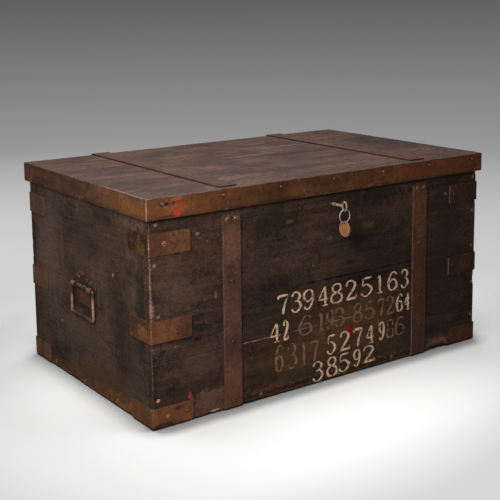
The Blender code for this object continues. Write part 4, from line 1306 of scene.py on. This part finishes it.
@dataclass(frozen=True)
class PaintedNumerals:
    """Plain numerals painted on the front by hand in oil paint, as thin films on the boards.

    Attributes:
        fresh: The material of the digits that have lasted.
        faded: The material of those that have nearly gone.
        half_width: Half the width of a stroke under the brush's full press, in metres.
        film: How thick the paint is, in metres.
        samples: How many steps a stroke takes from one of its points to the next.
        rows: The rows, from the top down.
    """

    fresh: bpy.types.Material
    faded: bpy.types.Material
    half_width: float = 0.0037
    film: float = 0.0002
    samples: int = 5
    rows: tuple[NumeralRow, ...] = (
        NumeralRow(
            "7394825163",
            (
                (-145, -115), (-111, -82), (-79, -48), (-37, -7), (-2, 32),
                (40, 73), (84, 121), (129, 155), (165, 197), (206, 230),
            ),
            (173, 170),
            (43, 42),
        ),
        NumeralRow(
            "426193857264",
            (
                (-167, -138), (-131, -118), (-91, -51), (-39, -17), (-14, 7), (10, 38),
                (63, 89), (97, 128), (138, 158), (163, 186), (193, 214), (218, 236),
            ),
            (117, 116),
            (42, 40),
            (2, 3, 4, 5, 6, 7, 8, 9),
        ),
        NumeralRow(
            "5274986",
            ((-13, 14), (24, 54), (64, 93), (101, 127), (140, 157), (164, 186), (189, 221)),
            (59, 60),
            (42, 42),
            (5, 6),
        ),
        NumeralRow("6317", ((-153, -131), (-121, -95), (-86, -66), (-58, -34)), (50, 52), (58, 46), (0, 1, 2, 3)),
        NumeralRow("38592", ((-54, -22), (-13, 17), (20, 55), (64, 85), (92, 128)), (6, 16), (43, 37)),
    )  # fmt: skip

    def build(self) -> None:
        """Makes the fresh films as one piece and the faded ones as another."""
        meshes = {"painted_numerals": bmesh.new(), "faded_numerals": bmesh.new()}
        for row in self.rows:
            for number, (digit, span) in enumerate(zip(row.digits, row.spans)):
                along = number / (len(row.digits) - 1)
                foot = row.foot[0] + (row.foot[1] - row.foot[0]) * along
                height = row.height[0] + (row.height[1] - row.height[0]) * along
                mesh = meshes["faded_numerals" if number in row.faded else "painted_numerals"]
                for layer, stroke in enumerate(BRUSHED_DIGITS[digit]):
                    points = [
                        (span[0] + (span[1] - span[0]) * x, foot + height * y, press) for x, y, press in stroke
                    ]
                    self.stroke(mesh, points, layer)
        for name, mesh in meshes.items():
            ride_mesh(mesh, name, self.faded if name.startswith("faded") else self.fresh, "carcass")

    def stroke(self, mesh: bmesh.types.BMesh, points: list[Triple], layer: int) -> None:
        """Adds one brush stroke as a closed film that thins out at its ends.

        Args:
            mesh: The mesh that gets it.
            points: Along the front and up in millimetres, and the brush's press.
            layer: How many strokes of the same digit lie under it.
        """
        body = mesh.verts.layers.float.get("stroke_body") or mesh.verts.layers.float.new("stroke_body")
        line = self.smooth(points)
        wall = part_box("front_lower_board")[0].y
        # A stroke over another lies a quarter of a film higher, and each is rooted in the board.
        front, back = wall - self.film * (1.1 + 0.25 * layer), wall + self.film
        rows = []
        for k, (x, z, press) in enumerate(line):
            ahead, behind = line[min(k + 1, len(line) - 1)], line[max(k - 1, 0)]
            run = Vector((ahead[0] - behind[0], ahead[1] - behind[1])).normalized()
            end = min(k, len(line) - 1 - k)
            # The brush narrows where it comes down and where it lifts.
            half = self.half_width * press * (0.55 if end == 0 else 0.9 if end == 1 else 1.0)
            # An unsteady hand: the edges wander by a tenth.
            half *= 1 + 0.1 * math.sin(x * 0.9 + z * 1.3 + layer)
            row = []
            for share, depth in ((-1, back), (-1, front), (-0.4, front), (0.4, front), (1, front), (1, back)):
                vert = mesh.verts.new((x / 1000 - run.y * half * share, depth, z / 1000 + run.x * half * share))
                vert[body] = 0.0 if abs(share) == 1 or end == 0 else 1.0
                row.append(vert)
            rows.append(row)
        join_rings(mesh, rows, smooth=False)
        mesh.faces.new(rows[0][::-1])
        mesh.faces.new(rows[-1])

    def smooth(self, points: list[Triple]) -> list[Triple]:
        """Rounds a stroke's line through its points.

        Args:
            points: The stroke's points.

        Returns:
            More points on a smooth line through them.
        """
        first, last = Vector(points[0]), Vector(points[-1])
        knots = [first * 2 - Vector(points[1])] + [Vector(p) for p in points] + [last * 2 - Vector(points[-2])]
        line = []
        for before, start, end, after in zip(knots, knots[1:], knots[2:], knots[3:]):
            for k in range(self.samples):
                t = k / self.samples
                bend = (end - before) * t + (before * 2 - start * 5 + end * 4 - after) * t * t
                line.append(start + (bend + (start * 3 - before - end * 3 + after) * t**3) / 2)
        return [tuple(p) for p in [*line, last]]


@dataclass(frozen=True)
class Walls:
    """The carcass's boards: a floor and four worn walls nailed to each other, with numerals painted on the front.

    Attributes:
        front: The finish of the front, and of every board that has no finish of its own.
        back: The finish of the back.
        ends: The finish of both ends.
        nails: The finish of the nail heads.
        fresh: The colour of the paint that has lasted, and the share of it that is left.
        faded: The colour of the paint that has nearly gone, and the share of it that is left.
    """

    front: BlackenedPine = BlackenedPine(
        "blackened_pine_lengthways",
        Grain.LENGTHWAYS,
        marks=(
            Blot((-385, -250, 268), (80, 60, 80), "#5f4a3e", 0.40, 0.5, 0.9),
            # Painted shade under the lid's band, along the top of the front.
            Blot((-150, -250, 385), (130, 60, 50), "#18110e", 0.50, 0.7, 0.8),
            Blot((140, -250, 395), (120, 60, 34), "#150f0c", 0.65, 0.7, 0.7),
            Blot((345, -250, 230), (90, 60, 300), "#3b2116", 0.65, 0.3, 0.8),
            # Painted shade in a soft band below the crack.
            Blot((85, -250, 212), (180, 60, 17), "#120d0a", 0.60, 0.5, 0.9),
            Blot((-60, -250, 75), (330, 60, 75), "#66492e", 0.55, 0.5, 0.9),
            Blot((60, -250, 125), (230, 60, 85), "#6f4b2d", 0.68, 0.5, 0.9),
            Blot((-350, -250, 110), (90, 60, 60), "#624939", 0.60, 0.5, 0.9),
            # Painted shadow of the key, its ring and its tag.
            Blot((34, -250, 345), (26, 60, 44), "#140e0b", 0.75, 0.5, 0.8),
            Blot((105, -250, 332), (24, 60, 9), "#64452a", 0.70, 0.8),
            Blot((84, -250, 354), (17, 60, 7), "#5f4129", 0.65, 0.8),
            Blot((-48, -250, 332), (40, 60, 11), "#5c4335", 0.55, 0.8),
            Blot((-4, -250, 319), (9, 60, 6), "#72604f", 0.55, 0.8),
            Blot((-112, -250, 370), (11, 60, 5), "#7a4a24", 0.75, 0.8),
            Blot((-299, -250, 247), (3, 60, 9), "#9a7d68", 0.45, 1.0),
            Blot((-344, -250, 165), (11, 60, 4), "#140e0b", 0.85),
            Blot((-424, -250, 155), (10, 60, 4), "#1d1410", 0.80),
            Blot((-354, -250, 281), (7, 60, 6), "#2a2624", 0.70),
            LineMark(2, 229.5, 3.2, "#0b0806", 1.00, 40, (0, -66, 236)),
            LineMark(2, 3, 24, "#5a3b22", 0.55, 24),
            LineMark(2, 3, 12, "#84562a", 0.75, 8),
            LineMark(2, 14, 12, "#8f6743", 0.45, 3.5),
            LineMark(2, 12, 12, "#1a0e07", 0.85, 7),
            Blot((-450, -239, 225), (4, 11, 210), "#2c2112", 0.80, 0.4, 0.8),
            # A pale line down the near corner: worn wood, with a painted highlight where the corner catches the light.
            Blot((-449, -250, 270), (3.0, 3.0, 110), "#b4927e", 0.62, 2.1, 0.8),
            Blot((-449, -250, 110), (2.6, 2.6, 110), "#a98672", 0.60, 1.0, 1.0),
            LineMark(2, 131.5, 1.6, "#a98c7a", 0.85, 22, (0, -235, 60)),
            Blot((-318, -250, 36), (62, 60, 24), "#6f5242", 0.75, 0.8, 0.5),
            Blot((-312, -250, 12), (58, 60, 13), "#765038", 0.65, 1.0, 0.5),
            Blot((-305, -250, 5), (14, 60, 4), "#c0a898", 0.80, 1.2),
            Blot((332, -250, 14), (46, 30, 17), "#80614a", 0.85),
            # More of the near corner's worn edge and painted highlight.
            Blot((-447, -250, 240), (6, 6, 22), "#a98672", 0.50, 1.4),
            Blot((57, -250, 98), (10, 8, 16), "#8a1512", 0.95),
            Blot((-364, -250, 52), (6, 8, 12), "#b4443e", 0.80, 1.1, 0.6),
        ),
    )
    back: BlackenedPine = BlackenedPine(
        "blackened_pine_back",
        Grain.LENGTHWAYS,
        marks=(
            Blot((-60, 298, 330), (300, 60, 70), "#4f3a2c", 0.50, 0.6, 0.9),
            Blot((300, 298, 120), (120, 60, 90), "#150d09", 0.55, 0.6, 0.9),
            Blot((-330, 298, 200), (90, 60, 150), "#5a4436", 0.45, 0.5, 0.9),
            LineMark(2, 239.5, 3.0, "#0b0806", 0.90, 40, (0, -120, 190)),
            LineMark(2, 3, 24, "#5a3b22", 0.55, 24),
            LineMark(2, 3, 12, "#84562a", 0.70, 8),
            LineMark(2, 12, 12, "#1a0e07", 0.85, 7),
            Blot((120, 298, 395), (70, 60, 5), "#7a6353", 0.50, 0.8),
        ),
    )
    ends: BlackenedPine = BlackenedPine(
        "blackened_pine_crossways",
        Grain.CROSSWAYS,
        coat="#433023",
        thin="#543f2e",
        warm="#57412b",
        streaks=0.25,
        runs=0.6,
        dust=0.15,
        marks=(
            Blot((-449, 205, 260), (30, 110, 230), "#655246", 0.68, 0.4, 0.9),
            Blot((-449, -125, 190), (30, 80, 220), "#2a1b0b", 0.82, 0.4, 0.9),
            Blot((-449, -222, 225), (30, 62, 210), "#261c0f", 0.90, 0.4, 0.8),
            Blot((-449, 134, 280), (14, 10, 100), "#66472e", 0.50, 0.8, 0.8),
            Blot((-449, 53, 395), (14, 9, 16), "#6a6764", 0.40, 0.9, 0.8),
            Blot((-449, -192, 384), (12, 14, 10), "#8f7a66", 0.45, 1.4),
            # Painted shadow of the handle, on the front side of its plate.
            Blot((-449, -46, 205), (10, 22, 44), "#1a120c", 0.55, 0.4, 0.8),
            # Painted shade under the handle's plate.
            Blot((-449, 22, 168), (10, 46, 11), "#150e0b", 0.70, 0.5, 0.8),
            Blot((-449, -70, 30), (30, 250, 60), "#4b3318", 0.70, 0.5, 0.9),
            LineMark(2, 3, 40, "#553a1e", 0.80, 34),
            LineMark(2, 3, 24, "#7d5024", 0.75, 9),
            LineMark(2, 12, 14, "#2b1a0d", 0.55, 4),
            Blot((-449, -190, 12), (20, 150, 24), "#7c4e22", 0.65, 1.1, 0.6),
            Blot((-449, 70, 110), (30, 170, 90), "#5c4839", 0.50, 0.4, 0.9),
        ),
    )
    nails: RustedIron = RustedIron(
        "rusted_iron_nails",
        skin="#7d6656",
        rust="#97705a",
        rubbed="#d0b09a",
        rust_share=0.4,
        marks=(Blot((-437, -251, 58), (8, 8, 8), "#d4946c", 0.90, 0.2),),
    )
    fresh: tuple[str, float] = ("#fad2aa", 0.76)
    faded: tuple[str, float] = ("#957453", 0.66)

    def build(self) -> None:
        """Builds the walls, their nails and the numerals."""
        front, back, ends = self.front.build(), self.back.build(), self.ends.build()
        dress(front, "front_*_board", "back_*_board", "floor_board_*")
        dress(ends, "*_end_*_board")
        WornBoard(
            "front_lower_board",
            front,
            (1, -1),
            foot=5.0,
            head=1.0,
            ends=3.5,
            gone=((330, 37, 15), (-190, 16, 4)),
            calm=(-80, 160),
        ).build()
        WornBoard("front_upper_board", front, (1, -1), foot=1.2, head=0.8, ends=3.5).build()
        WornBoard("back_lower_board", back, (1, 1), foot=4.0, head=1.0, ends=3.0).build()
        WornBoard("back_upper_board", back, (1, 1), foot=1.2, head=0.8, ends=3.0).build()
        for side, way in (("left", -1), ("right", 1)):
            WornBoard(f"{side}_end_lower_board", ends, (0, way), foot=4.5, head=1.0, ends=0.6).build()
            WornBoard(f"{side}_end_upper_board", ends, (0, way), foot=1.2, head=0.8, ends=0.6).build()
        WallNails(self.nails.build()).build()
        fresh = self.painted("oil_paint_on_pine", *self.fresh)
        faded = self.painted("faded_oil_paint_on_pine", *self.faded)
        PaintedNumerals(fresh, faded).build()

    def painted(self, name: str, paint: str, share: float) -> bpy.types.Material:
        """Builds the front's own finish with oil paint brushed over it.

        Args:
            name: The material's name.
            paint: The paint's colour.
            share: The share of the paint that is left.

        Returns:
            The material.
        """
        return replace(self.front, name=name, paint=paint, paint_share=share).build()


@dataclass(frozen=True)
class Lid:
    """The lid: boards with the grain along the trunk, and the iron band nailed round them.

    Attributes:
        boards: The finish of its boards.
        long_bands: The finish of the band's front and back.
        end_bands: The finish of the band's two ends.
    """

    boards: BlackenedPine = BlackenedPine(
        "blackened_pine_lid",
        Grain.LENGTHWAYS,
        coat="#3e291f",
        thin="#523a2c",
        warm="#563829",
        dark="#271812",
        bloom="#564540",
        scuffed="#7a5e4f",
        streaks=0.8,
        runs=0.0,
        dust=0.25,
        marks=(
            # Painted shade: the lid's right end is darker, where less light falls.
            Blot((400, 24, 460), (150, 300, 30), "#231611", 0.80, 0.4, 0.9),
            LineMark(0, -455, 6, "#917a6a", 0.40, 4, (1, -256, -70)),
            LineMark(1, -256, 4, "#8f7565", 0.40, 4, (0, -456, -200)),
            Blot((-60, 180, 460), (150, 40, 30), "#241614", 0.45, 0.9, 0.7),
            Blot((120, 40, 460), (190, 34, 30), "#22140f", 0.55, 0.9, 0.7),
            Blot((60, -150, 460), (150, 22, 30), "#22140f", 0.45, 0.9, 0.7),
            Blot((160, 130, 460), (110, 16, 30), "#80685c", 0.35, 0.9, 0.7),
            Blot((20, 60, 460), (120, 12, 30), "#80685c", 0.35, 0.9, 0.7),
            Blot((-330, 30, 460), (90, 26, 30), "#271814", 0.45, 0.9, 0.7),
            Blot((-200, -160, 460), (130, 26, 30), "#7a6053", 0.30, 0.9, 0.7),
        ),
    )
    long_bands: RustedIron = RustedIron(
        "rusted_iron_front_band",
        skin="#4f2e18",
        rust="#663c20",
        rust_share=0.5,
        along=(1, 3.5, 3.5),
        marks=(
            Blot((-390, -258, 440), (210, 60, 60), "#774523", 0.75, 0.3, 0.9),
            Blot((-104, -258, 440), (44, 40, 34), "#74452a", 0.5, 0.5, 0.9),
            Blot((250, -258, 440), (380, 60, 60), "#763f1d", 0.75, 0.3, 0.9),
            LineMark(2, 417, 9, "#2a190f", 0.55, 60),
            LineMark(2, 460.5, 2.4, "#24150d", 0.7, 40),
            *(
                mark
                for x in (-423, -282, -141, 0, 141, 282, 423)
                for mark in (
                    Blot((x, -259, 448), (8, 8, 9), "#25150b", 0.60, 1.0),
                    Blot((x, -261, 449), (4, 6, 4), "#a9856c", 0.65, 0.5, 0.4),
                )
            ),
            Blot((-386, -258, 437), (26, 12, 11), "#a84a22", 0.6),
            Blot((-390, -258, 427), (10, 10, 8), "#c4241c", 0.95),
            Blot((-391, -258, 454), (11, 10, 5), "#b8402a", 0.8),
            Blot((-414, -258, 447), (6, 6, 5), "#17120f", 0.9),
            Blot((-396, -258, 447), (5, 6, 4), "#2a1e18", 0.8),
            # A pale line down the band's near corner: worn iron, with a painted highlight.
            Blot((-458, -259, 438), (3.4, 3.4, 25), "#ab8270", 0.75, 0.6),
        ),
    )
    end_bands: RustedIron = RustedIron(
        "rusted_iron_side_band",
        skin="#432d1f",
        rust="#5e3c26",
        rust_share=0.5,
        along=(3.5, 1, 3.5),
        marks=(
            Blot((-458, -150, 440), (60, 150, 60), "#6b4526", 0.6, 0.4, 0.9),
            Blot((-458, -215, 436), (20, 80, 26), "#7d4a20", 0.65, 0.5, 0.8),
            LineMark(2, 417, 9, "#2a1b12", 0.5, 60),
            LineMark(2, 460.5, 2.4, "#24150d", 0.6, 40),
        ),
    )

    def build(self) -> None:
        """Dresses the lid's boards and its bands."""
        dress(self.boards.build(), "lid_board_*")
        dress(self.long_bands.build(), "front_lid_band", "back_lid_band")
        dress(self.end_bands.build(), "left_lid_band", "right_lid_band")


@dataclass(frozen=True)
class Straps:
    """The two straps down the front, and the strap hinges that run over the lid and down the back.

    Attributes:
        front: The finish of the front straps.
        hinges: The finish of the hinges' leaves and pins.
    """

    front: RustedIron = RustedIron(
        "japanned_iron_straps",
        skin="#50342a",
        rust="#5e3d30",
        rust_share=0.4,
        along=(3, 3, 1),
        marks=(
            # Painted light on the left strap, nearer the key light: brighter at the top and foot than in the middle.
            Blot((-261, -252, 350), (60, 60, 80), "#7c5141", 0.7, 0.4, 0.8),
            Blot((-261, -252, 50), (60, 60, 100), "#7a4d37", 0.7, 0.4, 0.8),
            Blot((-261, -252, 210), (60, 60, 100), "#6b4637", 0.7, 0.4, 0.8),
            Blot((261, -252, 210), (60, 60, 300), "#5d351e", 0.75, 0.3, 0.8),
            Blot((261, -252, 350), (60, 60, 90), "#754629", 0.6, 0.4, 0.8),
            # Painted highlights: a pale ring round each top rivet, with a darker middle.
            *(
                mark
                for x in (-271, -251, 251, 271)
                for mark in (
                    Blot((x, -255, 397), (6.5, 9, 6.5), "#b08c7c", 0.65, 0.2, 0.3),
                    Blot((x, -255, 395), (3.6, 9, 4.2), "#4c3027", 0.80, 0.2, 0.3),
                )
            ),
            # Painted highlights down the straps' left edges, which face the key light.
            LineMark(0, 239.5, 2.2, "#b08a76", 0.8, 60, (1, -260, -240)),
            LineMark(0, -282.5, 1.8, "#a37c68", 0.6, 25, (1, -260, -240)),
        ),
    )
    hinges: RustedIron = RustedIron(
        "japanned_iron_lid_straps",
        skin="#4a332a",
        rust="#573d32",
        rubbed="#6a4a3c",
        rust_share=0.4,
        gloss=0.2,
        # The hollows along the straps' sides: grime, with reddish painted shade.
        grime_and_shade="#341f17",
    )

    def build(self) -> None:
        """Dresses the straps and the hinges."""
        dress(self.front.build(), "*_front_strap")
        dress(self.hinges.build(), "*_hinge_*")


@dataclass(frozen=True)
class CornerPlates:
    """The twelve iron plates bent round the upright corners, three to a corner.

    Attributes:
        iron: Their finish.
    """

    iron: RustedIron = RustedIron(
        "rusted_iron_plates",
        skin="#5a3726",
        rust="#7d4c2e",
        rust_share=0.5,
        along=(1.5, 1.5, 1.5),
        marks=(
            Blot((405, -252, 200), (150, 70, 300), "#371d11", 0.85, 0.1),
            Blot((410, -252, 196), (22, 60, 16), "#4a1a14", 0.5, 0.8, 0.8),
            Blot((405, -252, 24), (60, 60, 24), "#58351c", 0.8, 0.5),
            Blot((-405, -252, 22), (60, 60, 30), "#835033", 0.7, 0.6),
            # A painted highlight down the right front plates' left edges.
            LineMark(0, 357.7, 2.2, "#b48f79", 0.95, 60, (2, 170, 400)),
            Blot((-428, -252, 7), (30, 60, 6), "#1f1009", 0.80, 1.1),
            Blot((-394, -252, 34), (13, 60, 6), "#28160b", 0.60, 1.2),
            Blot((-370, -252, 10), (13, 60, 8), "#9a5a28", 0.65, 1.2),
            Blot((-416, -254, 23), (7, 9, 6), "#b97a50", 0.80, 0.4),
            Blot((-416, -254, 369), (6, 9, 6), "#b98a60", 0.70, 0.3, 0.3),
            Blot((-416, -254, 368), (3, 9, 3), "#4a2c1c", 0.80, 0.2, 0.3),
            Blot((-425, -252, 200), (34, 60, 30), "#84502f", 0.60, 0.6, 0.8),
            Blot((-454, -212, 369), (8, 100, 40), "#22150a", 0.95, 0.5),
            Blot((-454, -222, 360), (8, 22, 14), "#5a431d", 0.6, 1.2),
            Blot((-454, -212, 200), (8, 90, 30), "#3a2413", 0.80, 0.5),
            Blot((-454, -225, 190), (8, 34, 16), "#7c4b22", 0.70, 1.0),
            Blot((-454, -212, 24), (8, 90, 30), "#593818", 0.75, 0.6),
            Blot((-454, 262, 369), (8, 60, 40), "#4b3a31", 0.85, 0.2),
            Blot((-454, 262, 196), (8, 60, 30), "#6b4a3a", 0.6, 0.3),
            # A painted highlight along the front edge of the left end's back plates.
            LineMark(1, 217.9, 1.8, "#b59a86", 0.6, 40, (0, -460, -440)),
            # A pale line down the plates' near corner: worn iron, with a painted highlight.
            Blot((-451.6, -252.4, 369), (3.8, 3.8, 36), "#d8ae94", 0.85, 0.7, 0.8),
            Blot((-451.6, -252.4, 200), (3.2, 3.2, 30), "#c08c64", 0.75, 1.0, 0.8),
            Blot((-451.6, -252.4, 30), (3.0, 3.0, 14), "#b0795a", 0.60, 1.1, 0.8),
        ),
    )

    def build(self) -> None:
        """Dresses the plates."""
        dress(self.iron.build(), "*_corner_plate")


@dataclass(frozen=True)
class Handles:
    """The drop handle on each end: an arched plate with ears and screws, its rolled barrel, and the bail.

    Attributes:
        plates: The finish of the plates, the barrels and the screws.
        bails: The finish of the bails, which hands have worn bright, with painted light on the legs and painted shade
            at their tops.
    """

    plates: RustedIron = RustedIron(
        "rusted_iron_handles",
        skin="#402818",
        rust="#583521",
        rubbed="#a47c64",
        marks=tuple(
            mark
            for side in (-1, 1)
            for mark in (
                Blot((side * 453, 29, 205), (12, 46, 26), "#5a321d", 0.75, 0.4, 0.8),
                # Painted shade at the foot of the plate, inside the bail.
                Blot((side * 453, 29, 181), (12, 46, 10), "#120b08", 0.92, 0.4, 0.7),
                Blot((side * 453, 28, 240), (12, 46, 14), "#332817", 0.85, 0.4, 0.5),
                Blot((side * 453, 44, 256), (12, 34, 7), "#6a4030", 0.75, 0.4, 0.6),
                # Pale streaks round the arch: rubbed iron, with painted highlights along its edge.
                *(
                    Blot((side * 453, y, z), (12, across, up), colour, 0.85, 0.5, 0.6)
                    for y, z, across, up, colour in (
                        (82, 237, 4, 6, "#a08070"),
                        (76, 244, 4, 5, "#9a7a6a"),
                        (66, 251, 7, 4, "#7a5a4a"),
                        (57, 247, 2.6, 8, "#806254"),
                        (-3, 243, 2.6, 8, "#8a6c58"),
                        (-12, 249, 6, 4, "#84654f"),
                        (-20, 243, 4, 5, "#9a7c64"),
                        (-24, 236, 3, 6, "#a0846a"),
                    )
                ),
                # The ears: rubbed iron, with painted highlights.
                Blot((side * 459, 69, 229), (8, 13, 9), "#8a6453", 0.65, 0.8),
                Blot((side * 459, -9, 228), (8, 13, 7), "#86684c", 0.60, 1.2),
                # A painted highlight along the top of the barrel.
                LineMark(2, 231.0, 1.6, "#5f4c30", 0.50, 22, (1, -2, 60)),
            )
        ),
    )
    bails: RustedIron = RustedIron(
        "hand_worn_iron_bails_painted_light",
        skin="#6d4a38",
        rust="#7a5342",
        rubbed="#9a7460",
        marks=tuple(
            mark
            for side in (-1, 1)
            for mark in (
                # Painted light on the legs' lit side, over the hands' rubbing.
                Blot((side * 456, -19, 190), (12, 9, 42), "#c29486", 0.90, 0.2, 0.6),
                Blot((side * 456, 78, 190), (12, 9, 42), "#a57c69", 0.85, 0.2, 0.6),
                Blot((side * 456, 82, 164), (12, 9, 7), "#b8988a", 0.80, 0.3, 0.6),
                Blot((side * 456, 32, 161), (14, 54, 9), "#382418", 0.93, 0.3, 0.4),
                # Painted shade at the tops of the legs, under the barrel.
                Blot((side * 456, -19, 219), (14, 11, 10), "#33241a", 0.85, 0.8),
                Blot((side * 456, 78, 212), (14, 9, 16), "#35231a", 0.90, 0.6, 0.5),
            )
        ),
    )

    def build(self) -> None:
        """Dresses the plates and the bails, and makes the barrels."""
        plates = self.plates.build()
        dress(plates, "*_handle_plate", "*_handle_screw_*")
        HandleBarrels(plates).build()
        dress(self.bails.build(), "*_bail")


@dataclass(frozen=True)
class LockAndKey:
    """The box lock behind the front, and the key in it with its split ring and round tag.

    Attributes:
        lock: The finish of the lock's pieces.
        key: The finish of the key.
        ring: The finish of the split ring.
        tag: The finish of the tag, with a warmer middle.
    """

    lock: RustedIron = RustedIron("oiled_iron_lock", skin="#3a3431", rust="#51423a", rust_share=0.3, rubbed="#b0a79d")
    key: HandledMetal = HandledMetal(
        "worn_steel_key", skin="#b1977a", rust="#86664a", dark="#483526", rubbed="#e6d2b8", metal=0.4
    )
    ring: HandledMetal = HandledMetal(
        "nickelled_steel_ring",
        skin="#d6cabb",
        rust="#a8988a",
        dark="#6b5d50",
        rubbed="#f2ebe0",
        rust_share=0.3,
        metal=0.6,
    )
    tag: HandledMetal = HandledMetal(
        "tarnished_copper_tag",
        skin="#aa7c54",
        rust="#94683f",
        dark="#6a4428",
        rubbed="#dcb497",
        metal=0.3,
        marks=(Blot((0, -293, 345), (8, 12.5, 12.5), "#a9652c", 0.90, 0.4, 0.5),),
    )

    def build(self) -> None:
        """Dresses the lock, the key, the ring and the tag."""
        dress(self.lock.build(), "lock_*")
        dress(self.key.build(), "key")
        dress(self.ring.build(), "key_ring")
        dress(self.tag.build(), "key_fob")


def main() -> None:
    """Builds the camera, the studio and the trunk's sub-assemblies in order."""
    logging.basicConfig(level=logging.INFO, format="%(name)s: %(message)s")
    for part in (PhotoCamera(), Studio(), Walls(), Lid(), Straps(), CornerPlates(), Handles(), LockAndKey()):
        part.build()


if __name__ == "__main__":
    main()
